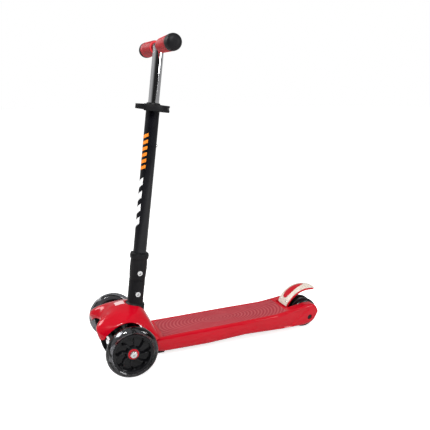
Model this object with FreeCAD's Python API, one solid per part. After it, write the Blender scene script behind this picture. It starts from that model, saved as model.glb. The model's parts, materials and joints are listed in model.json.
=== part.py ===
import FreeCAD, Part
import math
import os

# Child's kick scooter: two leaning front wheels, twin rear wheels, folding telescopic handlebar.
# Millimetres.  X forward, Y to the rider's left, Z up.  Shapes are drawn with X measured from
# the front axle and then moved so that the origin lies on the ground under the middle.

# ---------------------------------------------------------------- driving dimensions
axle_to_middle = 235.8          # front axle ahead of the origin

front_wheel_radius = 60.0
front_wheel_width = 24.0
front_wheel_y = 117.0           # middle of each front wheel
front_hub_radius = 47.0
rear_wheel_radius = 40.0
rear_wheel_width = 24.0
rear_wheel_y = 13.5
rear_hub_radius = 26.0
rear_axle_x = -500.0
rear_axle_z = 40.0

bearing_outer = 11.0
bearing_width = 7.0
axle_radius = 4.0
running_gap = 0.05              # radial gap of a shaft that turns in a hole

deck_half_width = 60.0
deck_front_x = -64.0
deck_seam_x = -80.0
deck_end_x = -525.0
deck_wall = 4.5
lobe_top = 74.3                 # rounded ends that carry the rear axle
lobe_outer_y = 53.5
well_half_width = 29.0
well_front_x = -437.0

hood_wall = 4.0
arch_centre = (-4.0, 56.0)
arch_radius = 63.0
arch_inner_y = 58.0

kingpin_tilt = 45.0             # degrees, top of the kingpin leans forward
kingpin_y = 54.0
kingpin_z = 60.0
kingpin_radius = 4.0
tie_arm = 30.0                  # from the kingpin to the tie rod pin

column_lean = 7.3               # degrees, top of the column leans back
column_base = (-37.0, 0.0, 135.0)
pivot_up = 23.2                 # heights measured along the column from column_base
yoke_radius = 19.5
yoke_slot = 18.0
tongue_width = 17.6
tongue_end_radius = 14.0
sleeve_bottom = 56.8
sleeve_top = 109.5
sleeve_radius = 20.0
sleeve_travel = 10.0
lock_bolt_up = 75.6
outer_tube_radius = 16.0
outer_tube_bore = 14.5
outer_tube_top = 474.0
clamp_middle = 467.0
clamp_height = 18.0
lever_pivot = (-29.0, 14.0)
button_up = 380.0
button_radius = 3.5
height_down = 80.0
height_up = 40.0
inner_tube_radius = 12.5
inner_tube_bore = 11.1
inner_tube_bottom = 340.0
bar_up = 603.0
bar_radius = 11.0
bar_half_length = 118.0

brake_pin_place = (-446.0, 51.0)
fender_half_width = 24.0
fender_crown_centre = (-510.0, 72.0)
fender_knee = (-488.0, 109.0)
fender_leg_radius = 87.0
fender_thickness = 4.0
plate_thickness = 1.4

X_AXIS = FreeCAD.Vector(1, 0, 0)
Y_AXIS = FreeCAD.Vector(0, 1, 0)
Z_AXIS = FreeCAD.Vector(0, 0, 1)


# ---------------------------------------------------------------- helpers
def box(x_range, y_range, z_range):
    """Box between the given low and high values."""
    size = [high - low for low, high in (x_range, y_range, z_range)]
    corner = FreeCAD.Vector(x_range[0], y_range[0], z_range[0])
    return Part.makeBox(size[0], size[1], size[2], corner)


def rod(start, direction, radius, length):
    """Solid cylinder from a start point along a direction."""
    return Part.makeCylinder(radius, length, FreeCAD.Vector(*start), FreeCAD.Vector(*direction))


def pipe(start, direction, outer, inner, length):
    """Tube with an open bore."""
    return rod(start, direction, outer, length).cut(rod(start, direction, inner, length))


def across(low, high, x, z, radius):
    """Cylinder parallel to Y between two Y values."""
    return rod((x, low, z), (0, 1, 0), radius, high - low)


def ring_across(low, high, x, z, outer, inner):
    """Ring parallel to Y between two Y values."""
    return across(low, high, x, z, outer).cut(across(low, high, x, z, inner))


def outline_face(steps, to_point):
    """Face inside a closed outline.  A step is a point, or (middle, end) for an arc."""
    edges = []
    first = to_point(*steps[0])
    here = first
    for step in steps[1:]:
        if isinstance(step[0], tuple):
            middle = to_point(*step[0])
            end = to_point(*step[1])
            edges.append(Part.Arc(here, middle, end).toShape())
        else:
            end = to_point(*step)
            edges.append(Part.LineSegment(here, end).toShape())
        here = end
    if here.distanceToPoint(first) > 1e-6:
        edges.append(Part.LineSegment(here, first).toShape())
    return Part.Face(Part.Wire(edges))


def side_plate(steps, y_low, y_high):
    """Outline of (x, z) steps, extruded across Y."""
    face = outline_face(steps, lambda x, z: FreeCAD.Vector(x, y_low, z))
    return face.extrude(FreeCAD.Vector(0, y_high - y_low, 0))


def plan_plate(steps, z_low, z_high):
    """Outline of (x, y) steps, extruded upwards."""
    face = outline_face(steps, lambda x, y: FreeCAD.Vector(x, y, z_low))
    return face.extrude(FreeCAD.Vector(0, 0, z_high - z_low))


def front_plate(steps, x_low, x_high):
    """Outline of (y, z) steps, extruded along X."""
    face = outline_face(steps, lambda y, z: FreeCAD.Vector(x_low, y, z))
    return face.extrude(FreeCAD.Vector(x_high - x_low, 0, 0))


def turned_on_y(steps, x, z):
    """Outline of (radius, y) steps, turned round an axis parallel to Y."""
    face = outline_face(steps, lambda radius, y: FreeCAD.Vector(x + radius, y, z))
    return face.revolve(FreeCAD.Vector(x, 0, z), Y_AXIS, 360)


def turned_on_z(steps):
    """Outline of (radius, z) steps, turned round the Z axis."""
    face = outline_face(steps, lambda radius, z: FreeCAD.Vector(radius, 0, z))
    return face.revolve(FreeCAD.Vector(0, 0, 0), Z_AXIS, 360)


def fuse_all(shapes):
    """Union of several solids with the seams between coplanar faces removed."""
    return shapes[0].multiFuse(shapes[1:]).removeSplitter()


def mirrored(shape):
    """Copy on the other side of the middle plane."""
    return shape.mirror(FreeCAD.Vector(0, 0, 0), Y_AXIS)


def full_outline(half):
    """Closed plan outline from its +Y half, given from front to back."""
    return half + [(x, -y) for x, y in reversed(half)]


def coil(radius, wire_radius, height, turns):
    """Coil spring round the Z axis, standing on the XY plane."""
    helix = Part.makeHelix(height / turns, height, radius)
    section = Part.Wire([Part.makeCircle(wire_radius, FreeCAD.Vector(radius, 0, 0), Y_AXIS)])
    return Part.Wire(helix.Edges).makePipeShell([section], True, True)


column_placement = FreeCAD.Placement(
    FreeCAD.Vector(*column_base), FreeCAD.Rotation(Y_AXIS, -column_lean))


def on_column(shape):
    """Stand a shape, drawn round the Z axis, on the leaning column."""
    return shape.transformed(column_placement.toMatrix())


def on_kingpin(shape):
    """Put a shape, drawn round the Z axis with X forward and down, on the left kingpin."""
    turn = FreeCAD.Rotation(Y_AXIS, kingpin_tilt)
    place = FreeCAD.Placement(FreeCAD.Vector(0, kingpin_y, kingpin_z), turn)
    return shape.transformed(place.toMatrix())


# ---------------------------------------------------------------- deck
deck_top_front = 53.6
hood_seat_z = 53.3              # flat ledge that the foot of the hood stands over
deck_top_rear = (-400.0, 61.5)
deck_rear_ramp = (-445.0, 67.5)
tongue_z = (20.0, 26.0)
tongue_front_x = 27.0
tongue_half_width = 38.0
screw_radius = 2.5
screw_head_radius = 4.2
beam_screw_places = [(-40.0, 22.0), (-8.0, 22.0), (-40.0, -22.0), (-8.0, -22.0)]
cover_screw_places = [(-84.0, 34.0), (20.0, 28.0), (-84.0, -34.0), (20.0, -28.0)]
hood_screw_places = [(-73.0, 44.0), (-73.0, -44.0)]
hood_screw_seat = 24.0


def make_deck():
    """Footboard: ribbed underneath, with two rounded ends beside the rear wheels."""
    side = [
        (deck_front_x, 24.0),
        (deck_front_x, deck_top_front),
        deck_top_rear,
        deck_rear_ramp,
        (-488.0, lobe_top),
        (-504.0, lobe_top),
        ((-520.5, 66.5), (deck_end_x, 50.0)),
        ((-519.0, 30.5), (-500.0, 19.5)),
        (-485.0, 17.0),
        (-420.0, 17.0),
        (-310.0, 21.0),
        (-207.0, 15.0),
        (-94.0, 15.0),
    ]
    half_plan = [
        (deck_front_x, deck_half_width),
        (-300.0, deck_half_width - 0.5),
        (-437.0, 56.5),
        (-500.0, lobe_outer_y),
        (deck_end_x - 1.0, 52.0),
    ]
    body = side_plate(side, -deck_half_width, deck_half_width)
    body = body.common(plan_plate(full_outline(half_plan), 0.0, 100.0))
    body = round_long_edges(body)
    body = body.cut(box((deck_seam_x - 0.5, deck_front_x + 1.0), (-70.0, 70.0), (hood_seat_z, 70.0)))
    body = body.cut(underside_pockets())
    well = box((deck_end_x - 5.0, well_front_x), (-well_half_width, well_half_width), (0.0, 100.0))
    body = body.cut(well)
    tongue = box((deck_front_x - 10.0, tongue_front_x),
                 (-tongue_half_width, tongue_half_width), tongue_z)
    lugs = [box((well_front_x - 16.0, well_front_x), (low, high), (44.0, 58.0))
            for low, high in ((-well_half_width, -24.5), (24.5, well_half_width))]
    body = fuse_all([body, tongue] + lugs)
    pin_x, pin_z = brake_pin_place
    body = body.cut(across(-40.0, 40.0, pin_x, pin_z, 3.0))
    body = body.cut(across(-60.0, 60.0, rear_axle_x, rear_axle_z, axle_radius))
    for low, high in ((-60.0, -45.0), (45.0, 60.0)):
        body = body.cut(across(low, high, rear_axle_x, rear_axle_z, 7.0))
    for x, y in beam_screw_places + cover_screw_places + hood_screw_places:
        body = body.cut(rod((x, y, 0.0), (0, 0, 1), screw_radius, 60.0))
    for x, y in hood_screw_places:
        body = body.cut(rod((x, y, 0.0), (0, 0, 1), screw_head_radius, hood_screw_seat))
    return body


def round_long_edges(body):
    """Round the long outer corners of the deck."""
    long_edges = []
    for edge in body.Edges:
        middle = edge.BoundBox.Center
        outer = abs(middle.y) > 50.0 and edge.BoundBox.XLength > 30.0
        if outer and edge.BoundBox.YLength < 5.0:
            long_edges.append(edge)
    return body.makeFillet(5.0, long_edges)


def underside_pockets():
    """Hollows between the ribs under the deck."""
    pockets = []
    rib = 3.0
    pocket_length = 58.0
    for row in range(5):
        x_high = -104.0 - row * (pocket_length + rib)
        for y_low, y_high in ((-52.0, -19.5), (-16.5, 16.5), (19.5, 52.0)):
            x_low = x_high - pocket_length
            z_top = deck_top_front + (deck_front_x - x_high) * 0.0235 - deck_wall
            pockets.append(box((x_low, x_high), (y_low, y_high), (0.0, z_top)))
    return Part.makeCompound(pockets)


# ---------------------------------------------------------------- hood
hood_foot_z = 54.1


def hood_body(inset):
    """Hood form, or its inside when inset is the wall thickness."""
    side = [
        (-80.0 + inset, hood_foot_z),
        (-66.0 + inset, 88.0),
        (-54.0 + inset, 110.0),
        (-45.0 + inset, 129.0 - inset),
        (-38.0 + inset, 134.0 - inset),
        (-14.0, 134.0 - inset),
        (57.0 - inset, 113.0 - inset),
        ((66.0 - inset, 106.0 - inset * 0.7), (68.5 - inset, 96.0)),
        (59.0 - inset, 73.0 + inset),
        (32.0, 76.0 + inset),
        (20.0, 86.0),
        (0.0, hood_foot_z),
    ]
    half_front = [(0.0, 140.0), (24.0, 140.0), (66.0, 117.0), (73.0, 108.0), (74.0, 40.0), (0.0, 40.0)]
    front = [(y - inset if y > 0 else y, z - inset if z > 45.0 else z) for y, z in half_front]
    front = front + [(-y, z) for y, z in reversed(front[1:-1])]
    half_plan = [(69.0, 40.0), (69.0, 62.0), (56.0, 69.0), (20.0, 73.0), (-30.0, 73.0), (-70.0, 62.0),
                 (-82.0, 60.0)]
    plan = [(x, y - inset) for x, y in half_plan]
    body = side_plate(side, -80.0, 80.0)
    body = body.common(front_plate(front, -90.0, 80.0))
    return body.common(plan_plate(full_outline(plan), 30.0, 150.0))


def hood_valley():
    """Space between the two prongs: a trough that widens and deepens forward."""
    top = outline_face([(24.0, -1.0), (72.0, -38.0), (72.0, 38.0), (24.0, 1.0)],
                       lambda x, y: FreeCAD.Vector(x, y, 150.0))
    foot = outline_face([(24.0, -1.0), (72.0, -33.0), (72.0, 33.0), (24.0, 1.0)],
                        lambda x, y: FreeCAD.Vector(x, y, 40.0))
    return Part.makeLoft([top.OuterWire, foot.OuterWire], True, True)


def make_hood():
    """Hollow hood over the steering: two prongs, wheel arches and a hole for the stem."""
    hood = hood_body(0.0)
    hood = hood.cut(hood_valley())
    inside = hood_body(hood_wall)
    spread = 1.0 + 2.0 * hood_wall / 60.0
    inner_valley = hood_valley()
    inner_valley.translate(FreeCAD.Vector(-hood_wall * 2.4, 0, 0))
    matrix = FreeCAD.Matrix()
    matrix.scale(1.0, spread, 1.0)
    inside = inside.cut(inner_valley.transformGeometry(matrix))
    inside = inside.common(box((-90.0, 80.0), (-80.0, 80.0), (60.0, 150.0)))
    hood = hood.cut(inside)
    arch_x, arch_z = arch_centre
    for low, high in ((-80.0, -arch_inner_y), (arch_inner_y, 80.0)):
        hood = hood.cut(across(low, high, arch_x, arch_z, arch_radius))
    hood = hood.cut(across(-arch_inner_y - 1.0, arch_inner_y + 1.0, 0.0, kingpin_z, 40.0))
    hood = hood.cut(box((-66.0, 30.0), (-80.0, 80.0), (40.0, 70.0)))
    hood = hood.cut(on_column(rod((0, 0, -40), (0, 0, 1), 24.0, 60.0)))
    for x, y in hood_screw_places:
        hood = hood.cut(rod((x, y, 40.0), (0, 0, 1), screw_radius, 26.0))
    return hood


# ---------------------------------------------------------------- front beam, cover and screws
pedestal = ((-50.0, 8.0), (-30.0, 30.0), (26.0, 62.0))
lug_half_gap = 18.5
lug_half_height = 26.0
post_bottom = -85.0


def make_front_beam():
    """Cross member that holds both kingpins and the foot of the stem."""
    web = box((-11.0, 11.0), (-21.0, -11.6), (-lug_half_height, lug_half_height))
    lugs = []
    for low, high in ((-lug_half_height, -lug_half_gap), (lug_half_gap, lug_half_height)):
        plate = box((-11.0, 11.0), (-21.0, 0.0), (low, high))
        lugs.append(plate.fuse(rod((0, 0, low), (0, 0, 1), 11.0, high - low)))
    cross_bar = box((-11.0, 11.0), (-kingpin_y, -20.0), (-10.0, 10.0))
    half = on_kingpin(fuse_all([web, cross_bar] + lugs))
    beam = fuse_all([half, mirrored(half), box(*pedestal)])
    kingpin_hole = on_kingpin(rod((0, 0, -40), (0, 0, 1), kingpin_radius, 80.0))
    beam = beam.cut(kingpin_hole).cut(mirrored(kingpin_hole))
    beam = beam.cut(on_column(rod((0, 0, post_bottom), (0, 0, 1), 14.0, 80.0)))
    beam = beam.cut(on_column(rod((0, 0, post_bottom - 60.0), (0, 0, 1), axle_radius, 70.0)))
    beam = beam.cut(on_column(rod((0, 0, post_bottom - 60.0), (0, 0, 1), 7.5, 44.0)))
    for x, y in beam_screw_places:
        beam = beam.cut(rod((x, y, 20.0), (0, 0, 1), screw_radius, 26.0))
    return beam


def make_stem_bolt():
    """Bolt that pulls the stem yoke down into the beam."""
    shank = rod((0, 0, post_bottom - 16.0), (0, 0, 1), axle_radius, 46.0)
    head = rod((0, 0, post_bottom - 21.0), (0, 0, 1), 6.5, 5.0)
    socket = hexagon(3.0, post_bottom - 21.0, 3.0)
    return on_column(shank.fuse(head).cut(socket))


def hexagon(radius, low, height):
    """Hexagonal prism round the Z axis."""
    corners = [(radius * math.cos(math.radians(60 * k)), radius * math.sin(math.radians(60 * k)))
               for k in range(6)]
    return plan_plate(corners, low, low + height)


def make_front_cover():
    """Dished cover under the steering."""
    side = [(-98.0, 14.6), (-94.0, 9.0), (20.0, 9.0), ((34.0, 13.0), (38.0, 24.0)), (34.5, 24.0),
            ((31.0, 16.0), (20.0, 12.5)), (-64.0, 12.5), (-64.0, 14.6)]
    cover = side_plate(side, -44.0, 44.0)
    rims = []
    for y_low, y_high in ((-44.0, -41.0), (41.0, 44.0)):
        rims.append(box((-62.0, 24.0), (y_low, y_high), (10.0, 24.0)))
    posts = [rod((x, y, 10.0), (0, 0, 1), 5.0, 4.6 if x < 0.0 else 10.0)
             for x, y in cover_screw_places]
    cover = fuse_all([cover] + rims + posts)
    for x, y in cover_screw_places:
        cover = cover.cut(rod((x, y, 0.0), (0, 0, 1), screw_radius, 40.0))
        cover = cover.cut(rod((x, y, 0.0), (0, 0, 1), screw_head_radius, 11.0))
    return cover


def screw_up(x, y, head_bottom, length):
    """Pan head screw that points up."""
    shank = rod((x, y, head_bottom), (0, 0, 1), screw_radius, length)
    head = rod((x, y, head_bottom), (0, 0, 1), screw_head_radius, 2.2)
    recess = box((x - 0.5, x + 0.5), (y - 2.5, y + 2.5), (head_bottom, head_bottom + 1.2))
    return shank.fuse(head).cut(recess)


def make_frame_screws():
    """Ten screws: four under the beam, four in the cover, two up into the hood."""
    screws = [screw_up(x, y, tongue_z[0] - 2.2, 24.0) for x, y in beam_screw_places]
    screws += [screw_up(x, y, 8.8, 15.0) for x, y in cover_screw_places]
    screws += [hood_screw(x, y) for x, y in hood_screw_places]
    return Part.makeCompound(screws)


def hood_screw(x, y):
    """Long screw from under the deck into the rear leg of the hood."""
    return screw_up(x, y, hood_screw_seat - 2.2, 39.0)


# ---------------------------------------------------------------- steering
def make_kingpins():
    """Pair of leaning kingpins, headed above and clipped below."""
    pin = rod((0, 0, -30), (0, 0, 1), kingpin_radius, 60.0)
    head = rod((0, 0, lug_half_height), (0, 0, 1), 7.0, 4.0)
    clip = rod((0, 0, -30), (0, 0, 1), 6.5, 4.0)
    left = on_kingpin(fuse_all([pin, head, clip]))
    return Part.makeCompound([left, mirrored(left)])


def make_knuckle():
    """Left steering knuckle: barrel on the kingpin, stub for the wheel, arm for the tie rod."""
    barrel = rod((0, 0, -18.2), (0, 0, 1), 11.0, 28.2)
    neck = rod((0, 0, 5.0), (0, 0, 1), 7.5, 13.2)
    arm = box((0.0, tie_arm), (-6.0, 6.0), (-12.0, -5.0))
    arm_end = rod((tie_arm, 0, -12.0), (0, 0, 1), 7.0, 7.0)
    swivel = on_kingpin(fuse_all([barrel, neck, arm, arm_end]))
    stub_start = kingpin_y + 4.0
    stub = turned_on_y(
        [(0.0, stub_start), (9.5, stub_start), (9.5, 84.0), (13.0, 88.0), (13.0, 102.0),
         (10.0, 104.0), (6.0, 104.0), (6.0, 105.4), (0.0, 105.4)], 0.0, kingpin_z)
    gusset = side_plate([(-9.0, 56.0), (9.0, 56.0), (9.0, 46.0), (-9.0, 46.0)], 66.0, 90.0)
    knuckle = fuse_all([swivel, stub, gusset])
    bore = on_kingpin(rod((0, 0, -40), (0, 0, 1), kingpin_radius + running_gap, 80.0))
    knuckle = knuckle.cut(bore)
    knuckle = knuckle.cut(on_kingpin(rod((tie_arm, 0, -20), (0, 0, 1), 3.0, 30.0)))
    return knuckle.cut(across(86.0, 110.0, 0.0, kingpin_z, axle_radius))


def make_axle_bolt():
    """Left front axle bolt with a domed socket head."""
    outer = front_wheel_y + 17.0
    bolt = turned_on_y(
        [(0.0, 86.0), (axle_radius, 86.0), (axle_radius, 128.7), (8.0, 128.7), (8.0, 131.5),
         ((7.3, outer - 0.6), (5.5, outer)), (0.0, outer)], 0.0, kingpin_z)
    socket = hexagon(3.2, 0.0, 3.0)
    socket.rotate(FreeCAD.Vector(0, 0, 0), X_AXIS, -90)
    socket.translate(FreeCAD.Vector(0, outer - 2.5, kingpin_z))
    return bolt.cut(socket)


def make_axle_spacer():
    """Ring between the two bearings of the left front wheel."""
    low = front_wheel_y - 4.4
    return ring_across(low, low + 8.8, 0.0, kingpin_z, 5.6, axle_radius)


def make_tie_rod():
    """Bar between both steering arms.  Its right eye is the open pivot."""
    eye = rod((tie_arm, 0, -4.7), (0, 0, 1), 7.0, 6.0)
    bar = box((tie_arm - 5.0, tie_arm + 5.0), (-kingpin_y, 0.0), (-4.7, 1.3))
    hole = rod((tie_arm, 0, -10.0), (0, 0, 1), 3.0 + running_gap, 20.0)
    open_hole = rod((tie_arm, 0, -10.0), (0, 0, 1), 3.4, 20.0)
    half = on_kingpin(eye.fuse(bar))
    whole = fuse_all([half, mirrored(half)])
    return whole.cut(on_kingpin(hole)).cut(mirrored(on_kingpin(open_hole)))


def make_tie_rod_pin():
    """Left pin from the steering arm through the tie rod."""
    pin = rod((tie_arm, 0, -12.0), (0, 0, 1), 3.0, 16.0)
    head = rod((tie_arm, 0, 1.7), (0, 0, 1), 5.0, 2.3)
    return on_kingpin(pin.fuse(head))


def make_centring_springs():
    """Ribbed rubber spring on each kingpin, between the knuckle and the upper lug."""
    ribbed = turned_on_z(
        [(7.9, 10.4), (9.4, 10.4), ((10.2, 11.7), (9.4, 13.0)), ((10.2, 14.25), (9.4, 15.5)),
         ((10.2, 16.8), (9.4, 18.1)), (7.9, 18.1)])
    left = on_kingpin(ribbed)
    return Part.makeCompound([left, mirrored(left)])


# ---------------------------------------------------------------- wheels
def make_tyre(x, y, z, outer, inner, width, crown):
    """Tyre with a round tread and soft shoulders."""
    half = width / 2.0
    shoulder = outer - crown
    return turned_on_y(
        [(inner, y - half + 1.5), (shoulder, y - half),
         ((outer, y), (shoulder, y + half)), (inner, y + half - 1.5)], x, z)


def make_front_hub(side):
    """Core with a rim, a bearing seat, a thin web and eight swept blades."""
    rim_inner = 40.0
    boss_radius = 16.0
    half = front_wheel_width / 2.0 - 1.5
    y_mid = side * front_wheel_y
    rim = ring_across(y_mid - half, y_mid + half, 0.0, kingpin_z, front_hub_radius, rim_inner)
    boss = across(y_mid - half, y_mid + half, 0.0, kingpin_z, boss_radius)
    web = across(y_mid - 1.5, y_mid + 1.5, 0.0, kingpin_z, rim_inner + 1.0)
    blades = []
    for k in range(8):
        blade = side_plate(
            [(boss_radius - 3.0, -3.5), ((28.0, -1.0), (rim_inner + 1.0, 12.0)),
             (rim_inner - 1.0, 19.0), ((26.0, 7.0), (boss_radius - 3.0, 3.5))],
            y_mid - half + 1.5, y_mid + half - 1.5)
        blade.rotate(FreeCAD.Vector(0, 0, 0), Y_AXIS, 45.0 * k)
        blade.translate(FreeCAD.Vector(0, 0, kingpin_z))
        blades.append(blade)
    hub = fuse_all([rim, boss, web] + blades)
    seat = bearing_outer
    hub = hub.cut(across(y_mid - 20.0, y_mid - 4.5, 0.0, kingpin_z, seat))
    hub = hub.cut(across(y_mid + 4.5, y_mid + 20.0, 0.0, kingpin_z, seat))
    return hub.cut(across(y_mid - 20.0, y_mid + 20.0, 0.0, kingpin_z, 8.0))


def make_rear_hub(side):
    """Solid core with a shallow ring groove on each face."""
    half = rear_wheel_width / 2.0 - 0.5
    y_mid = side * rear_wheel_y
    hub = across(y_mid - half, y_mid + half, rear_axle_x, rear_axle_z, rear_hub_radius)
    for low, high in ((y_mid - half, y_mid - half + 4.0), (y_mid + half - 4.0, y_mid + half)):
        hub = hub.cut(ring_across(low, high, rear_axle_x, rear_axle_z, 22.5, 14.0))
    hub = hub.cut(across(y_mid - 20.0, y_mid - 4.5, rear_axle_x, rear_axle_z, bearing_outer))
    hub = hub.cut(across(y_mid + 4.5, y_mid + 20.0, rear_axle_x, rear_axle_z, bearing_outer))
    return hub.cut(across(y_mid - 20.0, y_mid + 20.0, rear_axle_x, rear_axle_z, 8.0))


def make_bearings(x, y, z):
    """Pair of sealed ball bearings with a shallow step round the seal."""
    rings = []
    for low in (y - 4.5 - bearing_width, y + 4.5):
        ring = ring_across(low, low + bearing_width, x, z, bearing_outer,
                           axle_radius + running_gap)
        for face_low in (low, low + bearing_width - 0.4):
            ring = ring.cut(ring_across(face_low, face_low + 0.4, x, z, 9.6, 6.2))
        rings.append(ring)
    return Part.makeCompound(rings)


def make_rear_axle():
    """Rear bolt with its head on the right."""
    axle = across(-49.0, 50.0, rear_axle_x, rear_axle_z, axle_radius)
    head = across(-49.5, -45.0, rear_axle_x, rear_axle_z, 6.5)
    return axle.fuse(head).cut(across(-50.0, -47.0, rear_axle_x, rear_axle_z, 3.0))


def make_rear_axle_nut():
    """Nut on the left end of the rear bolt."""
    nut = hexagon(6.6, 0.0, 5.0)
    nut.rotate(FreeCAD.Vector(0, 0, 0), X_AXIS, -90)
    nut.translate(FreeCAD.Vector(rear_axle_x, 45.0, rear_axle_z))
    return nut.cut(across(40.0, 55.0, rear_axle_x, rear_axle_z, axle_radius))


def make_rear_spacers():
    """Rings on the rear axle between the bearings and against the lobes."""
    inner_gap = rear_wheel_y - 4.5 - bearing_width - 0.1
    spans = [(-inner_gap, inner_gap)]
    for side in (-1, 1):
        middle = side * rear_wheel_y
        spans.append((middle - 4.4, middle + 4.4))
        ends = sorted((side * (rear_wheel_y + 4.6 + bearing_width), side * well_half_width))
        spans.append((ends[0], ends[1]))
    rings = [ring_across(low, high, rear_axle_x, rear_axle_z, 5.6, axle_radius)
             for low, high in spans]
    return Part.makeCompound(rings)


# ---------------------------------------------------------------- brake
crown_reach = math.dist(fender_knee, fender_crown_centre)
knee_degrees = math.degrees(math.atan2(fender_knee[1] - fender_crown_centre[1],
                                       fender_knee[0] - fender_crown_centre[0]))
leg_centre = (fender_knee[0] - fender_leg_radius * math.cos(math.radians(knee_degrees)),
              fender_knee[1] - fender_leg_radius * math.sin(math.radians(knee_degrees)))
fender_foot_degrees = 11.0
plate_foot_degrees = 16.5
fender_tip_degrees = 132.0
leg_screw_degrees = 20.5
crown_screw_degrees = 117.0
leg_screw_y = 14.0


def leg_point(degrees, offset):
    """(x, z) on the fender's straight-looking leg, at an offset from its middle line."""
    angle = math.radians(degrees)
    reach = fender_leg_radius + offset
    return (leg_centre[0] + reach * math.cos(angle), leg_centre[1] + reach * math.sin(angle))


def crown_point(degrees, offset):
    """(x, z) on the fender's crown, at an offset from its middle line."""
    angle = math.radians(degrees)
    reach = crown_reach + offset
    return (fender_crown_centre[0] + reach * math.cos(angle),
            fender_crown_centre[1] + reach * math.sin(angle))


def fender_band(low, high, half_width, foot_degrees=fender_foot_degrees):
    """Curved band that follows the fender's middle line, between two offsets from it."""
    leg_middle = (knee_degrees + foot_degrees) / 2.0
    crown_middle = (knee_degrees + fender_tip_degrees) / 2.0
    steps = [
        leg_point(foot_degrees, low),
        leg_point(foot_degrees, high),
        (leg_point(leg_middle, high), leg_point(knee_degrees, high)),
        (crown_point(crown_middle, high), crown_point(fender_tip_degrees, high)),
        crown_point(fender_tip_degrees, low),
        (crown_point(crown_middle, low), crown_point(knee_degrees, low)),
        (leg_point(leg_middle, low), leg_point(foot_degrees, low)),
    ]
    return side_plate(steps, -half_width, half_width)


def fender_plan(inset):
    """Plan of the fender: straight sides, rounded tip."""
    wide = fender_half_width - inset
    half = [(-430.0, wide), (-500.0, wide), (-522.0, wide - 3.0), (-536.0 + inset, 10.0),
            (-541.0 + inset, 3.0)]
    return plan_plate(full_outline(half), 0.0, 200.0)


def window_plan(grow):
    """Teardrop window in the brake plate."""
    half = [(-459.0 + grow, 1.0), (-464.0 + grow, 8.0 + grow), (-478.0, 12.0 + grow),
            (-500.0, 10.0 + grow), (-513.0 - grow, 4.0 + grow), (-516.0 - grow, 1.0)]
    return plan_plate(full_outline(half), 0.0, 200.0)


def plate_screw_rods(radius):
    """Rods on the axes of the three plate screws."""
    rods = []
    for y in (-leg_screw_y, leg_screw_y):
        start = leg_point(leg_screw_degrees, -8.0)
        end = leg_point(leg_screw_degrees, 8.0)
        rods.append(rod((start[0], y, start[1]), (end[0] - start[0], 0, end[1] - start[1]),
                        radius, 16.0))
    start = crown_point(crown_screw_degrees, -8.0)
    end = crown_point(crown_screw_degrees, 8.0)
    rods.append(rod((start[0], 0, start[1]), (end[0] - start[0], 0, end[1] - start[1]),
                    radius, 16.0))
    return rods


def make_brake_fender():
    """Curved sprung mudguard that is pressed onto the rear wheels."""
    skin = fender_band(-fender_thickness / 2.0, fender_thickness / 2.0, fender_half_width)
    skin = skin.common(fender_plan(0.0))
    island = fender_band(0.0, fender_thickness / 2.0 + plate_thickness + 0.8, 20.0)
    island = island.common(window_plan(-0.6))
    pin_x, pin_z = brake_pin_place
    barrels = []
    for low, high in ((-23.0, -8.0), (8.0, 23.0)):
        barrel = across(low, high, pin_x, pin_z, 6.0)
        foot = box((-452.0, -445.0), (low, high), (48.0, 57.0))
        barrels += [barrel, foot]
    fender = fuse_all([skin, island] + barrels)
    fender = fender.cut(across(-30.0, 30.0, pin_x, pin_z, 3.0 + running_gap))
    fender = fender.cut(box((-460.0, -436.0), (-7.8, 7.8), (40.0, 58.5)))
    return cut_plate_screw_holes(fender)


def cut_plate_screw_holes(shape):
    """Open the three holes of the plate screws."""
    for screw in plate_screw_rods(1.5):
        shape = shape.cut(screw)
    return shape


def make_brake_plate():
    """Pale cover plate with a teardrop window."""
    low = fender_thickness / 2.0
    plate = fender_band(low, low + plate_thickness, fender_half_width - 1.6, plate_foot_degrees)
    plate = plate.common(fender_plan(1.6))
    plate = plate.cut(window_plan(0.0))
    return cut_plate_screw_holes(plate)


def make_plate_screws():
    """Small dome screws through the brake plate."""
    top = fender_thickness / 2.0 + plate_thickness
    heads_zone = fender_band(top, top + 1.0, 30.0)
    shank_zone = fender_band(-fender_thickness / 2.0, top, 30.0)
    screws = []
    for wide, narrow in zip(plate_screw_rods(2.6), plate_screw_rods(1.5)):
        screws.append(wide.common(heads_zone).fuse(narrow.common(shank_zone)).removeSplitter())
    return Part.makeCompound(screws)


def make_brake_pin():
    """Hinge pin of the brake."""
    pin_x, pin_z = brake_pin_place
    return across(-35.0, 35.0, pin_x, pin_z, 3.0)


def make_brake_spring():
    """Coil that lifts the brake, round the hinge pin."""
    spring = coil(5.0, 0.8, 12.0, 5)
    spring.rotate(FreeCAD.Vector(0, 0, 0), X_AXIS, -90)
    pin_x, pin_z = brake_pin_place
    spring.translate(FreeCAD.Vector(pin_x, -6.0, pin_z))
    return spring


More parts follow.
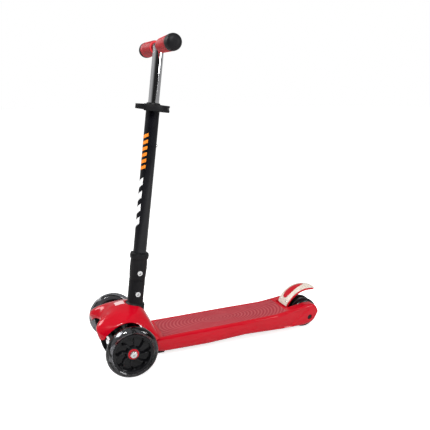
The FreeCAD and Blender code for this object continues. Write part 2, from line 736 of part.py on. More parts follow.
# ---------------------------------------------------------------- stem yoke and column
def make_stem_yoke():
    """Housing with a slot for the column's tongue, open at the top and rear."""
    body = turned_on_z(
        [(0.0, post_bottom), (14.0, post_bottom), (14.0, -26.0), (23.6, -26.0), (23.6, -6.0),
         (21.5, -3.0), (yoke_radius, -1.0), (yoke_radius, sleeve_bottom - 0.5),
         (0.0, sleeve_bottom - 0.5)])
    slot = box((-40.0, 14.6), (-yoke_slot / 2.0, yoke_slot / 2.0),
               (pivot_up - tongue_end_radius - 0.4, 80.0))
    body = body.cut(slot)
    swing = 32.8
    rear_block = box((-40.0, 0.0), (-40.0, 40.0), (pivot_up, 90.0))
    keep = across(-40.0, 40.0, 0.0, pivot_up, swing)
    body = body.cut(rear_block.cut(keep))
    body = body.cut(across(-40.0, 40.0, 0.0, pivot_up, axle_radius))
    for low, high in ((-40.0, -17.5), (17.5, 40.0)):
        body = body.cut(across(low, high, 0.0, pivot_up, 6.2))
    body = body.cut(rod((0, 0, post_bottom - 1.0), (0, 0, 1), axle_radius, 31.0))
    return on_column(body)


def make_cross_bolt(height, inner_end, outer_end):
    """Bolt across the column with its socket head on the left."""
    shank = across(-inner_end - 2.0, outer_end, 0.0, height, axle_radius)
    head = across(outer_end - 2.0, outer_end + 1.8, 0.0, height, 6.0)
    socket = hexagon(3.0, 0.0, 2.5)
    socket.rotate(FreeCAD.Vector(0, 0, 0), X_AXIS, -90)
    socket.translate(FreeCAD.Vector(0, outer_end - 0.5, height))
    return on_column(shank.fuse(head).cut(socket))


def make_cross_nut(height, inner_end):
    """Round nut on the right end of a bolt across the column."""
    nut = across(-inner_end - 3.6, -inner_end, 0.0, height, 6.0)
    return on_column(nut.cut(across(-40.0, 0.0, 0.0, height, axle_radius)))


def make_column_foot():
    """Plug in the outer tube with the hinge tongue below it."""
    half = tongue_width / 2.0
    tongue = box((-tongue_end_radius, tongue_end_radius), (-half, half),
                 (pivot_up, sleeve_bottom))
    tongue_end = across(-half, half, 0.0, pivot_up, tongue_end_radius)
    plug = rod((0, 0, sleeve_bottom), (0, 0, 1), outer_tube_bore, 46.0)
    foot = fuse_all([tongue, tongue_end, plug])
    foot = foot.cut(across(-40.0, 40.0, 0.0, pivot_up, axle_radius + running_gap))
    return on_column(foot.cut(lock_slot()))


def lock_slot():
    """Slot that lets the lock bolt rise with the sleeve."""
    width = axle_radius + 0.1
    low = across(-30.0, 30.0, 0.0, lock_bolt_up, width)
    high = across(-30.0, 30.0, 0.0, lock_bolt_up + sleeve_travel, width)
    middle = box((-width, width), (-30.0, 30.0), (lock_bolt_up, lock_bolt_up + sleeve_travel))
    return fuse_all([low, high, middle])


def make_outer_tube():
    """Lower tube of the column, with a height slot and a split at the top."""
    length = outer_tube_top - sleeve_bottom
    tube = pipe((0, 0, sleeve_bottom), (0, 0, 1), outer_tube_radius, outer_tube_bore, length)
    tube = tube.cut(lock_slot())
    half = button_radius + 0.1
    low = button_up - height_down
    high = button_up + height_up
    slot = box((-30.0, 0.0), (-half, half), (low, high))
    ends = [rod((0, 0, end), (-1, 0, 0), half, 30.0) for end in (low, high)]
    split = box((-30.0, 0.0), (-1.0, 1.0), (outer_tube_top - 22.0, outer_tube_top + 1.0))
    return on_column(tube.cut(fuse_all([slot] + ends)).cut(split))


def make_tube_bush():
    """Plastic bush that guides the inner tube at the mouth of the outer tube."""
    gap = running_gap + 0.01
    bush = turned_on_z(
        [(inner_tube_radius + gap, outer_tube_top - 36.0), (outer_tube_bore, outer_tube_top - 36.0),
         (outer_tube_bore, outer_tube_top), (outer_tube_radius, outer_tube_top),
         (outer_tube_radius - 0.8, outer_tube_top + 3.0), (inner_tube_radius + gap, outer_tube_top + 3.0)])
    return on_column(bush)


def make_lock_sleeve():
    """Slightly barrelled housing that slides up to free the hinge."""
    sleeve = turned_on_z(
        [(outer_tube_radius + 0.15, sleeve_bottom), (sleeve_radius - 1.0, sleeve_bottom),
         ((sleeve_radius + 0.6, (sleeve_bottom + sleeve_top) / 2.0), (sleeve_radius - 0.2, sleeve_top)),
         (outer_tube_radius + 0.15, sleeve_top)])
    sleeve = sleeve.cut(across(-40.0, 40.0, 0.0, lock_bolt_up, axle_radius))
    for low, high in ((-40.0, -18.2), (18.2, 40.0)):
        sleeve = sleeve.cut(across(low, high, 0.0, lock_bolt_up, 6.2))
    return on_column(sleeve)


def make_tube_collar():
    """Flared cup that takes the top of the sleeve when it rises."""
    low = sleeve_top - 0.4
    cup = turned_on_z(
        [(20.7, low), (22.0, low), (23.0, low + 7.0), (22.0, low + 12.5), (18.5, low + 14.5),
         (outer_tube_radius, low + 14.5), (outer_tube_radius, low + 11.5), (20.7, low + 11.5)])
    return on_column(cup)


def make_sleeve_spring():
    """Coil between the sleeve and the collar."""
    spring = coil(18.2, 0.9, 9.0, 3)
    spring.translate(FreeCAD.Vector(0, 0, sleeve_top + 1.0))
    return on_column(spring)


def make_lock_clip():
    """Spring steel catch that bridges the sleeve and the back of the yoke."""
    side = [(-18.4, 42.0), (-17.0, 42.0), (-17.0, sleeve_bottom), (-18.4, sleeve_bottom)]
    clip = side_plate(side, -7.0, 7.0)
    return on_column(clip)


# ---------------------------------------------------------------- height clamp
clamp_low = clamp_middle - clamp_height / 2.0
clamp_high = clamp_middle + clamp_height / 2.0 - 2.0


def make_clamp_collar():
    """Split ring with two ears at the rear."""
    ring = rod((0, 0, clamp_low), (0, 0, 1), 21.0, clamp_high - clamp_low)
    ears = box((-37.0, -14.0), (-7.0, 7.0), (clamp_low, clamp_high))
    body = ring.fuse(ears)
    body = body.cut(rod((0, 0, clamp_low), (0, 0, 1), outer_tube_radius, 40.0))
    body = body.cut(box((-40.0, 0.0), (-1.0, 1.0), (clamp_low, clamp_high)))
    return on_column(body.cut(across(-20.0, 20.0, lever_pivot[0], clamp_middle, 2.5)))


def make_clamp_bolt():
    """Bolt through both ears of the clamp."""
    return on_column(across(-15.0, lever_pivot[1], lever_pivot[0], clamp_middle, 2.5))


def make_clamp_nut():
    """Nut of the clamp bolt."""
    nut = across(-12.5, -7.0, lever_pivot[0], clamp_middle, 5.0)
    return on_column(nut.cut(across(-20.0, 0.0, lever_pivot[0], clamp_middle, 2.5)))


def make_lever_pin():
    """Upright pin that the lever turns on."""
    x, y = lever_pivot
    pin = rod((x, y, clamp_low + 0.5), (0, 0, 1), 3.4, clamp_high - clamp_low - 1.0)
    return on_column(pin.cut(across(0.0, y, x, clamp_middle, 2.5)))


def make_clamp_lever():
    """Curved cam lever that wraps the clamp from the rear to the front."""
    x, y = lever_pivot
    low = clamp_low + 1.0
    high = clamp_high - 1.0
    band = plan_plate(
        [(x - 3.0, y + 5.0), ((4.0, 35.5), (42.0, 9.0)), ((43.0, 5.0), (39.5, 3.5)),
         ((4.0, 28.5), (x + 4.0, y + 2.0))], low, high)
    eye = rod((x, y, low), (0, 0, 1), 6.6, high - low)
    lever = band.fuse(eye).removeSplitter()
    lever = lever.cut(rod((x, y, low - 1.0), (0, 0, 1), 3.4 + running_gap, 30.0))
    lever = lever.cut(rod((x, y, clamp_middle - 3.0), (0, 0, 1), 8.2, 6.0))
    return on_column(lever)


# ---------------------------------------------------------------- inner tube and handlebar
def make_inner_tube():
    """Upper tube of the column, joined to the handlebar."""
    length = bar_up - inner_tube_bottom
    tube = pipe((0, 0, inner_tube_bottom), (0, 0, 1), inner_tube_radius, inner_tube_bore, length)
    tube = tube.cut(across(-40.0, 40.0, 0.0, bar_up, bar_radius))
    return on_column(tube.cut(rod((0, 0, button_up), (-1, 0, 0), button_radius + running_gap, 30.0)))


def make_handlebar():
    """Straight bar with open ends."""
    bar = ring_across(-bar_half_length, bar_half_length, 0.0, bar_up, bar_radius, bar_radius - 1.8)
    return on_column(bar)


def make_grip():
    """Left grip: ribbed sleeve that flares towards the outside."""
    start = 24.0
    end = 110.0
    rib_count = 9
    pitch = (end - start - 6.0) / rib_count
    steps = [(bar_radius, start), (14.0, start), (15.2, start + 3.0)]
    for k in range(rib_count):
        y = start + 3.0 + k * pitch
        radius = 15.0 + 1.6 * k / (rib_count - 1)
        steps += [((radius + 0.9, y + pitch * 0.4), (radius, y + pitch * 0.8)),
                  (radius - 0.2, y + pitch)]
    steps += [(18.0, end), (bar_radius, end)]
    return on_column(turned_on_y(steps, 0.0, bar_up))


def make_grip_caps():
    """Mushroom caps over both ends of the handlebar."""
    cap = turned_on_y(
        [(0.0, bar_half_length), (bar_radius, bar_half_length), (bar_radius, 110.0), (18.0, 110.0),
         (19.0, 113.0), (18.8, 117.0), (16.5, 121.0), (13.0, 124.0), (8.0, 125.5), (0.0, 125.5)],
        0.0, bar_up)
    left = on_column(cap)
    return Part.makeCompound([left, mirrored(left)])


def make_height_button():
    """Snap button with a flange inside the inner tube."""
    button = rod((-18.6, 0, button_up), (1, 0, 0), button_radius, 10.6)
    flange = rod((-9.0, 0, button_up), (1, 0, 0), 4.6, 1.0)
    return on_column(button.fuse(flange))


def make_button_clip():
    """Leaf spring, bent double, that pushes the button out."""
    side = [(-7.9, button_up + 6.0), (-7.0, button_up + 6.0), (-7.0, button_up - 14.0),
            ((0.9, button_up - 21.0), (9.6, button_up - 14.0)), (9.6, button_up + 12.0),
            (10.6, button_up + 12.0), (10.6, button_up - 14.0),
            ((1.3, button_up - 22.2), (-7.9, button_up - 14.0))]
    return on_column(side_plate(side, -3.0, 3.0))


# ---------------------------------------------------------------- all sub-parts
def all_nodes():
    """Every sub-part under its own name."""
    knuckle = make_knuckle()
    axle_bolt = make_axle_bolt()
    spacer = make_axle_spacer()
    front_axle = Part.makeCompound([axle_bolt, spacer])
    tie_pin = make_tie_rod_pin()
    grip = make_grip()
    nodes = {
        "deck": make_deck(),
        "front_hood": make_hood(),
        "front_beam": make_front_beam(),
        "front_cover": make_front_cover(),
        "frame_screws": make_frame_screws(),
        "stem_yoke": make_stem_yoke(),
        "stem_bolt": make_stem_bolt(),
        "hinge_bolt": make_cross_bolt(pivot_up, 17.5, 19.5),
        "hinge_nut": make_cross_nut(pivot_up, 17.5),
        "kingpins": make_kingpins(),
        "centring_springs": make_centring_springs(),
        "rear_axle": make_rear_axle(),
        "rear_axle_nut": make_rear_axle_nut(),
        "rear_spacers": make_rear_spacers(),
        "brake_pin": make_brake_pin(),
        "brake_spring": make_brake_spring(),
        "knuckle_left": knuckle,
        "knuckle_right": mirrored(knuckle),
        "front_axle_left": front_axle,
        "front_axle_right": mirrored(front_axle),
        "tie_rod_pin_left": tie_pin,
        "tie_rod_pin_right": mirrored(tie_pin),
        "tie_rod": make_tie_rod(),
        "brake_fender": make_brake_fender(),
        "brake_plate": make_brake_plate(),
        "plate_screws": make_plate_screws(),
        "outer_tube": make_outer_tube(),
        "column_foot": make_column_foot(),
        "tube_collar": make_tube_collar(),
        "tube_bush": make_tube_bush(),
        "clamp_collar": make_clamp_collar(),
        "clamp_bolt": make_clamp_bolt(),
        "clamp_nut": make_clamp_nut(),
        "lever_pin": make_lever_pin(),
        "clamp_lever": make_clamp_lever(),
        "lock_sleeve": make_lock_sleeve(),
        "lock_bolt": make_cross_bolt(lock_bolt_up, 18.2, 20.2),
        "lock_nut": make_cross_nut(lock_bolt_up, 18.2),
        "sleeve_spring": make_sleeve_spring(),
        "lock_clip": make_lock_clip(),
        "inner_tube": make_inner_tube(),
        "handlebar": make_handlebar(),
        "grip_left": grip,
        "grip_right": mirrored(grip),
        "grip_caps": make_grip_caps(),
        "height_button": make_height_button(),
        "button_clip": make_button_clip(),
    }
    for name, side in (("left", 1), ("right", -1)):
        nodes["front_tyre_" + name] = make_tyre(
            0.0, side * front_wheel_y, kingpin_z, front_wheel_radius, front_hub_radius,
            front_wheel_width, 6.0)
        nodes["front_hub_" + name] = make_front_hub(side)
        nodes["front_bearings_" + name] = make_bearings(0.0, side * front_wheel_y, kingpin_z)
        nodes["rear_tyre_" + name] = make_tyre(
            rear_axle_x, side * rear_wheel_y, rear_axle_z, rear_wheel_radius, rear_hub_radius,
            rear_wheel_width, 6.0)
        nodes["rear_hub_" + name] = make_rear_hub(side)
        nodes["rear_bearings_" + name] = make_bearings(
            rear_axle_x, side * rear_wheel_y, rear_axle_z)
    return nodes


def main():
    """Write one STEP file for each sub-part."""
    os.makedirs("parts", exist_ok=True)
    for name, shape in all_nodes().items():
        moved = shape.copy()
        moved.translate(FreeCAD.Vector(axle_to_middle, 0, 0))
        moved.exportStep("parts/" + name + ".step")


main()
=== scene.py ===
import json
import math

import bpy
from mathutils import Matrix, Vector


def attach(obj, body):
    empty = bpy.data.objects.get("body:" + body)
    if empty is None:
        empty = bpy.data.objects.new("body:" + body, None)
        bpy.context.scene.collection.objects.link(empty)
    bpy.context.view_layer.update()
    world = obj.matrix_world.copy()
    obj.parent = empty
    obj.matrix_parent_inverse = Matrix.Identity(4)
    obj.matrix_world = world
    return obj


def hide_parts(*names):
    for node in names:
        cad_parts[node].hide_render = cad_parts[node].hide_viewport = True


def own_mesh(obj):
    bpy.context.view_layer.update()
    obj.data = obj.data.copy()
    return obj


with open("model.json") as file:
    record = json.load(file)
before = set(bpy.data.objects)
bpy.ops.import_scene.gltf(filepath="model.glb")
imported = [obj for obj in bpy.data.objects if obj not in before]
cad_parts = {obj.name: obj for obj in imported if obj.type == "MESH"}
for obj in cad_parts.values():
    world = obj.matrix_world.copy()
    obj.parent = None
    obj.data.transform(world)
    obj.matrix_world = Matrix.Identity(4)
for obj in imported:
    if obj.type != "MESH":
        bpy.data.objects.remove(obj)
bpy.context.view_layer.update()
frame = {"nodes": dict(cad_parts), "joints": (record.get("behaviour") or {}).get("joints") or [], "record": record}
nodes = frame["nodes"]
joints = {joint["name"]: joint for joint in frame["joints"]}

MM = 0.001

# Millimetres up the column, and out along the handlebar from its middle.
GRIP_START = 24.0
GRIP_END = 101.0
GRIP_LEAD = 4.0
GRIP_FLARE = 7.0
GRIP_RIBS = 9
GRIP_RIB_START = GRIP_START + GRIP_LEAD
GRIP_PITCH = (GRIP_END - GRIP_FLARE - GRIP_RIB_START) / GRIP_RIBS


# ---------------------------------------------------------------- material helpers
def new_material(name, color, roughness, metallic=0.0):
    """Principled material; returns it with its node tree and shader."""
    material = bpy.data.materials.new(name)
    material.use_nodes = True
    tree = material.node_tree
    shader = tree.nodes["Principled BSDF"]
    shader.inputs["Base Color"].default_value = (*color, 1.0)
    shader.inputs["Roughness"].default_value = roughness
    shader.inputs["Metallic"].default_value = metallic
    return material, tree, shader


def object_coordinates(tree, scale=(1.0, 1.0, 1.0)):
    """Object coordinates in metres, stretched along each axis."""
    source = tree.nodes.new("ShaderNodeTexCoord")
    mapping = tree.nodes.new("ShaderNodeMapping")
    mapping.inputs["Scale"].default_value = scale
    tree.links.new(source.outputs["Object"], mapping.inputs["Vector"])
    return mapping.outputs["Vector"]


def noise(tree, scale, detail=3.0, vector=None):
    """Noise value on object coordinates, in metres."""
    node = tree.nodes.new("ShaderNodeTexNoise")
    node.inputs["Scale"].default_value = scale
    node.inputs["Detail"].default_value = detail
    tree.links.new(vector or object_coordinates(tree), node.inputs["Vector"])
    return node.outputs["Fac"]


def ramp(tree, value, low_color, high_color, low=0.3, high=0.7):
    """Two-colour ramp."""
    node = tree.nodes.new("ShaderNodeValToRGB")
    node.color_ramp.elements[0].position = low
    node.color_ramp.elements[0].color = (*low_color, 1.0)
    node.color_ramp.elements[1].position = high
    node.color_ramp.elements[1].color = (*high_color, 1.0)
    tree.links.new(value, node.inputs["Fac"])
    return node.outputs["Color"]


def value_range(tree, value, low, high):
    """Spread a 0..1 value between two numbers."""
    node = tree.nodes.new("ShaderNodeMapRange")
    node.inputs["To Min"].default_value = low
    node.inputs["To Max"].default_value = high
    tree.links.new(value, node.inputs["Value"])
    return node.outputs["Result"]


def math_node(tree, operation, value, second=0.0, third=0.0):
    """One step of arithmetic on a value; the second term is a number or another value."""
    node = tree.nodes.new("ShaderNodeMath")
    node.operation = operation
    tree.links.new(value, node.inputs[0])
    if isinstance(second, bpy.types.NodeSocket):
        tree.links.new(second, node.inputs[1])
    else:
        node.inputs[1].default_value = second
    node.inputs[2].default_value = third
    return node.outputs["Value"]


def mix_colors(tree, share, first, second):
    """Blend of a colour output and a fixed colour by a 0..1 share."""
    node = tree.nodes.new("ShaderNodeMix")
    node.data_type = "RGBA"
    factor, low, high = [socket for socket in node.inputs if socket.enabled]
    tree.links.new(share, factor)
    tree.links.new(first, low)
    high.default_value = (*second, 1.0)
    return [socket for socket in node.outputs if socket.enabled][0]


def bump(tree, shader, height, strength, distance):
    """Bump from a height value."""
    node = tree.nodes.new("ShaderNodeBump")
    node.inputs["Strength"].default_value = strength
    node.inputs["Distance"].default_value = distance
    tree.links.new(height, node.inputs["Height"])
    tree.links.new(node.outputs["Normal"], shader.inputs["Normal"])


# ---------------------------------------------------------------- materials
def gloss_red():
    """Deep red moulded plastic with a faint flow and a polished skin."""
    material, tree, shader = new_material("gloss_red", (0.55, 0.001, 0.012), 0.20)
    flow = noise(tree, 9.0, 2.0)
    color = ramp(tree, flow, (0.43, 0.000, 0.008), (0.50, 0.001, 0.012))
    tree.links.new(color, shader.inputs["Base Color"])
    scuffs = noise(tree, 160.0, 5.0)
    tree.links.new(value_range(tree, scuffs, 0.13, 0.25), shader.inputs["Roughness"])
    shader.inputs["Specular IOR Level"].default_value = 0.2
    bump(tree, shader, noise(tree, 55.0, 2.0), 0.12, 0.0006)
    shader.inputs["Coat Weight"].default_value = 0.2
    shader.inputs["Coat Roughness"].default_value = 0.04
    return material


def fine_black(name="fine_black", low=0.34, high=0.55):
    """Black moulded plastic with a fine spark-eroded grain."""
    material, tree, shader = new_material(name, (0.012, 0.012, 0.014), 0.45)
    grain = noise(tree, 1400.0, 3.0)
    patches = noise(tree, 30.0, 3.0)
    color = ramp(tree, patches, (0.004, 0.004, 0.005), (0.010, 0.010, 0.011))
    tree.links.new(color, shader.inputs["Base Color"])
    tree.links.new(value_range(tree, patches, low, high), shader.inputs["Roughness"])
    shader.inputs["Specular IOR Level"].default_value = 0.14
    bump(tree, shader, grain, 0.25, 0.0002)
    return material


def gloss_black():
    """Polished black moulding of the wheel cores."""
    material, tree, shader = new_material("gloss_black", (0.010, 0.010, 0.012), 0.18)
    flow = noise(tree, 60.0, 2.0)
    tree.links.new(value_range(tree, flow, 0.08, 0.18), shader.inputs["Roughness"])
    shader.inputs["Specular IOR Level"].default_value = 0.2
    tree.links.new(ramp(tree, flow, (0.003, 0.003, 0.004), (0.008, 0.008, 0.009)),
                   shader.inputs["Base Color"])
    bump(tree, shader, flow, 0.08, 0.0004)
    return material


def black_paint():
    """Glossy powder coat on tubes, with a light orange peel."""
    material, tree, shader = new_material("black_paint", (0.010, 0.010, 0.013), 0.2)
    peel = noise(tree, 420.0, 2.0)
    patches = noise(tree, 24.0, 3.0)
    tree.links.new(value_range(tree, patches, 0.09, 0.17), shader.inputs["Roughness"])
    shader.inputs["Specular IOR Level"].default_value = 0.2
    tree.links.new(ramp(tree, patches, (0.003, 0.003, 0.005), (0.008, 0.008, 0.010)),
                   shader.inputs["Base Color"])
    bump(tree, shader, peel, 0.10, 0.0002)
    shader.inputs["Coat Weight"].default_value = 0.15
    shader.inputs["Coat Roughness"].default_value = 0.06
    return material


def clear_urethane():
    """Clear cast tyre, faintly smoky."""
    material, tree, shader = new_material("clear_urethane", (0.93, 0.94, 0.96), 0.06)
    shader.inputs["Transmission Weight"].default_value = 1.0
    shader.inputs["IOR"].default_value = 1.46
    cloud = noise(tree, 40.0, 3.0)
    tree.links.new(ramp(tree, cloud, (0.09, 0.09, 0.10), (0.16, 0.16, 0.17)),
                   shader.inputs["Base Color"])
    tree.links.new(value_range(tree, cloud, 0.03, 0.12), shader.inputs["Roughness"])
    bump(tree, shader, noise(tree, 90.0, 2.0), 0.1, 0.0005)
    return material


def black_tyre():
    """Black cast urethane with a satin tread."""
    material, tree, shader = new_material("black_tyre", (0.012, 0.012, 0.013), 0.28)
    wear = noise(tree, 70.0, 4.0)
    tree.links.new(value_range(tree, wear, 0.14, 0.3), shader.inputs["Roughness"])
    shader.inputs["Specular IOR Level"].default_value = 0.25
    tree.links.new(ramp(tree, wear, (0.004, 0.004, 0.005), (0.011, 0.011, 0.012)),
                   shader.inputs["Base Color"])
    bump(tree, shader, noise(tree, 500.0, 3.0), 0.12, 0.0002)
    return material


def chrome():
    """Polished chrome with hairline marks along the tube."""
    material, tree, shader = new_material("chrome", (0.82, 0.83, 0.85), 0.06, 1.0)
    lines = noise(tree, 30.0, 4.0, object_coordinates(tree, (40.0, 40.0, 1.0)))
    tree.links.new(value_range(tree, lines, 0.03, 0.12), shader.inputs["Roughness"])
    tree.links.new(ramp(tree, lines, (0.78, 0.79, 0.81), (0.88, 0.88, 0.90)),
                   shader.inputs["Base Color"])
    return material


def zinc_steel(name="zinc_steel", tone=0.62):
    """Bright zinc plated steel with fine turning marks."""
    material, tree, shader = new_material(name, (tone, tone, tone * 1.02), 0.25, 1.0)
    marks = noise(tree, 900.0, 4.0)
    tree.links.new(value_range(tree, marks, 0.16, 0.36), shader.inputs["Roughness"])
    tree.links.new(ramp(tree, marks, (tone * 0.85,) * 3, (tone * 1.15,) * 3),
                   shader.inputs["Base Color"])
    bump(tree, shader, marks, 0.08, 0.0001)
    return material


def cast_aluminium():
    """Machined casting."""
    return zinc_steel("cast_aluminium", 0.48)


def grip_rubber():
    """Matte red rubber with a soft bloom, and painted shade that darkens the valleys between the ribs."""
    material, tree, shader = new_material("grip_rubber", (0.52, 0.012, 0.016), 0.5)
    bloom = noise(tree, 85.0, 4.0)
    axes = tree.nodes.new("ShaderNodeSeparateXYZ")
    tree.links.new(object_coordinates(tree), axes.inputs["Vector"])
    # Painted shade: a dark red is mixed into the valleys between the ribs, repeating at the rib pitch.
    outwards = math_node(tree, "ABSOLUTE", axes.outputs["Y"])
    turns = math_node(tree, "MULTIPLY_ADD", outwards, 2.0 * math.pi / (GRIP_PITCH * MM),
                      -2.0 * math.pi * GRIP_RIB_START / GRIP_PITCH)
    valley = math_node(tree, "COSINE", turns)
    depth = math_node(tree, "MULTIPLY_ADD", valley, 0.45, 0.5)
    unshaded_rubber = ramp(tree, bloom, (0.58, 0.004, 0.012), (0.70, 0.014, 0.024))
    shade = ramp(tree, depth, (0.0, 0.0, 0.0), (1.0, 1.0, 1.0), 0.12, 0.46)
    # The dark red (0.16, 0.001, 0.003) is the painted valley shade.
    tree.links.new(mix_colors(tree, shade, unshaded_rubber, (0.16, 0.001, 0.003)), shader.inputs["Base Color"])
    tree.links.new(value_range(tree, bloom, 0.42, 0.62), shader.inputs["Roughness"])
    bump(tree, shader, noise(tree, 1600.0, 2.0), 0.2, 0.0002)
    return material


def pale_plate():
    """Warm pale painted plate with speckled wear."""
    material, tree, shader = new_material("pale_plate", (0.62, 0.55, 0.47), 0.4)
    speck = noise(tree, 240.0, 6.0)
    tree.links.new(ramp(tree, speck, (0.42, 0.36, 0.30), (0.68, 0.61, 0.53), 0.32, 0.5),
                   shader.inputs["Base Color"])
    tree.links.new(value_range(tree, speck, 0.3, 0.5), shader.inputs["Roughness"])
    bump(tree, shader, speck, 0.15, 0.0002)
    return material


def painted_shade_black():
    """Painted shade: flat black of the hidden inner panels, which mirrors nothing, so that they read as shade."""
    material, tree, shader = new_material("painted_shade_black", (0.006, 0.006, 0.007), 0.9)
    dust = noise(tree, 200.0, 4.0)
    tree.links.new(ramp(tree, dust, (0.004, 0.004, 0.005), (0.012, 0.012, 0.012)),
                   shader.inputs["Base Color"])
    shader.inputs["Specular IOR Level"].default_value = 0.0
    return material


MATERIALS = {
    "red_shell": gloss_red(),
    "black_plastic": fine_black(),
    "gloss_black": gloss_black(),
    "clear_tyre": clear_urethane(),
    "black_tyre": black_tyre(),
    "black_paint": black_paint(),
    "chrome": chrome(),
    "steel": zinc_steel(),
    "aluminium": cast_aluminium(),
    "red_grip": grip_rubber(),
    "black_rubber": fine_black("soft_black", 0.4, 0.6),
    "pale_plate": pale_plate(),
    "spring_steel": zinc_steel("spring_steel", 0.5),
}


def dress_cad_nodes():
    """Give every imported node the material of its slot."""
    for part in frame["record"]["subparts"]:
        node = nodes[part["node"]]
        node.data.materials.clear()
        node.data.materials.append(MATERIALS[part["material_slot"]])


dress_cad_nodes()


# ---------------------------------------------------------------- mesh helpers
AXLE_X = joints["front_left_spin"]["pos_m"][0] / MM
MERGE_REACH = 0.00002  # metres


def place(x, y, z):
    """Point in metres from millimetres measured from the front axle."""
    return Vector(((x + AXLE_X) * MM, y * MM, z * MM))


def joint_place(name):
    """Place of a joint in millimetres, measured from the front axle."""
    x, y, z = joints[name]["pos_m"]
    return round(x / MM - AXLE_X, 4), round(y / MM, 4), round(z / MM, 4)


def blank_slate():
    """Object mode with nothing selected."""
    if bpy.context.mode != "OBJECT":
        bpy.ops.object.mode_set(mode="OBJECT")
    bpy.ops.object.select_all(action="DESELECT")


def activate(piece):
    """Only this piece selected, and active."""
    blank_slate()
    piece.select_set(True)
    bpy.context.view_layer.objects.active = piece


def open_mesh(piece):
    """Edit mode with the whole mesh selected."""
    activate(piece)
    bpy.ops.object.mode_set(mode="EDIT")
    bpy.ops.mesh.select_all(action="SELECT")


def close_mesh():
    """Back to object mode."""
    bpy.ops.object.mode_set(mode="OBJECT")


def put_in_scene(name, mesh):
    """Object of its own for a mesh."""
    piece = bpy.data.objects.new(name, mesh)
    bpy.context.scene.collection.objects.link(piece)
    return piece


def mesh_piece(name, vertices, edges, faces):
    """Piece from points and the edges or faces between them."""
    mesh = bpy.data.meshes.new(name)
    mesh.from_pydata(vertices, edges, faces)
    return put_in_scene(name, mesh)


def skin(name, rows, closed=False):
    """Quad skin through rows of points; a closed one is a tube with both ends capped."""
    count = len(rows[0])
    last = (len(rows) - 1) * count
    faces = []
    for start in range(0, last, count):
        for j in range(count if closed else count - 1):
            beside = (j + 1) % count
            faces.append((start + j, start + beside, start + count + beside, start + count + j))
    if closed:
        faces.append(tuple(range(count)))
        faces.append(tuple(last + j for j in reversed(range(count))))
    return mesh_piece(name, [point for row in rows for point in row], [], faces)


def tidy_normals(piece):
    """Merge doubled points and turn every face outwards."""
    open_mesh(piece)
    bpy.ops.mesh.remove_doubles(threshold=MERGE_REACH)
    bpy.ops.mesh.normals_make_consistent(inside=False)
    close_mesh()


def apply_modifier(piece, kind, **settings):
    """Add a modifier, set it and apply it."""
    activate(piece)
    modifier = piece.modifiers.new(kind.title(), kind)
    for key, value in settings.items():
        setattr(modifier, key, value)
    bpy.ops.object.modifier_apply(modifier=modifier.name)


def smooth(piece, degrees):
    """Smooth shading, kept crisp at edges that turn more than the angle."""
    activate(piece)
    bpy.ops.object.shade_smooth_by_angle(angle=math.radians(degrees))


def dress(piece, slot_name, body, *replaced, material=None):
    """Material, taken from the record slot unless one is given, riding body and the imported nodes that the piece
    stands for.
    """
    piece.data.materials.clear()
    piece.data.materials.append(material or MATERIALS[slot_name])
    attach(piece, body)
    if replaced:
        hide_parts(*replaced)
    return piece


def subtract(piece, cutter):
    """Cut one closed piece out of another and throw the cutter away."""
    apply_modifier(piece, "BOOLEAN", operation="DIFFERENCE", object=cutter, solver="EXACT")
    bpy.data.objects.remove(cutter)


def block(name, x_range, y_range, z_range, round_by=0.0, segments=3):
    """Cube primitive at its size and place, with rounded edges."""
    low = place(x_range[0], y_range[0], z_range[0])
    high = place(x_range[1], y_range[1], z_range[1])
    blank_slate()
    bpy.ops.mesh.primitive_cube_add(size=1.0)
    piece = bpy.context.object
    piece.name = name
    piece.data.transform(Matrix.Translation((low + high) / 2.0) @ Matrix.Diagonal((*(high - low), 1.0)))
    if round_by:
        apply_modifier(piece, "BEVEL", width=round_by * MM, segments=segments, limit_method="NONE")
    return piece


def join(name, pieces):
    """Join several pieces into one."""
    blank_slate()
    for piece in pieces:
        piece.select_set(True)
    bpy.context.view_layer.objects.active = pieces[0]
    bpy.ops.object.join()
    pieces[0].name = name
    return pieces[0]


def between(value, low, high):
    """How far a value is from low to high, held to 0..1 and eased at both ends."""
    t = min(max((value - low) / (high - low), 0.0), 1.0)
    return t * t * (3.0 - 2.0 * t)


def follow(stations, x):
    """Value at x on the straight lines between (x, value) stations in falling x."""
    for (x0, v0), (x1, v1) in zip(stations, stations[1:]):
        if x >= x1:
            return v0 + (v1 - v0) * (x - x0) / (x1 - x0)
    return stations[-1][1]


# ---------------------------------------------------------------- deck
REAR_X, REAR_Y, REAR_Z = joint_place("rear_left_spin")
DECK_END_X = -525.0
LOBE_MIDDLE_Z = 50.0
LOBE_TOP = (-504.0, 74.3)
LOBE_FOOT = (-500.0, 19.5)
PANEL_FRONT_X = -92.0
PANEL_REAR_X = -434.0
PANEL_MARGIN = 9.0
PANEL_SINK = 1.1

SCOOP_DEPTH = 2.8
SCOOP_TOP_Z = 70.0
SIDE_STEPS = 10
POCKET_LENGTH = 58.0
POCKET_PITCH = POCKET_LENGTH + 3.0

# (x, height) and (x, half width) from the front of the deck to its rear end.
DECK_TOP = [(-64.0, 53.6), (-400.0, 61.5), (-445.0, 67.5), (-488.0, 74.3), (-504.0, 74.3)]
DECK_FLOOR = [(-64.0, 24.0), (-78.0, 17.5), (-94.0, 15.0), (-207.0, 15.0), (-310.0, 21.0),
              (-420.0, 17.0), (-485.0, 17.0), (-500.0, 19.5)]
DECK_WIDE = [(-64.0, 60.0), (-300.0, 59.5), (-437.0, 56.5), (-500.0, 53.5), (-527.0, 51.0)]


def deck_top_z(x):
    """Height of the deck's top, rounded down at the rear lobe."""
    start, height = LOBE_TOP
    if x >= start:
        return follow(DECK_TOP, x)
    share = min((start - x) / (start - DECK_END_X), 1.0)
    bulge = 2.25
    return LOBE_MIDDLE_Z + (height - LOBE_MIDDLE_Z) * (1.0 - share ** bulge) ** (1.0 / bulge)


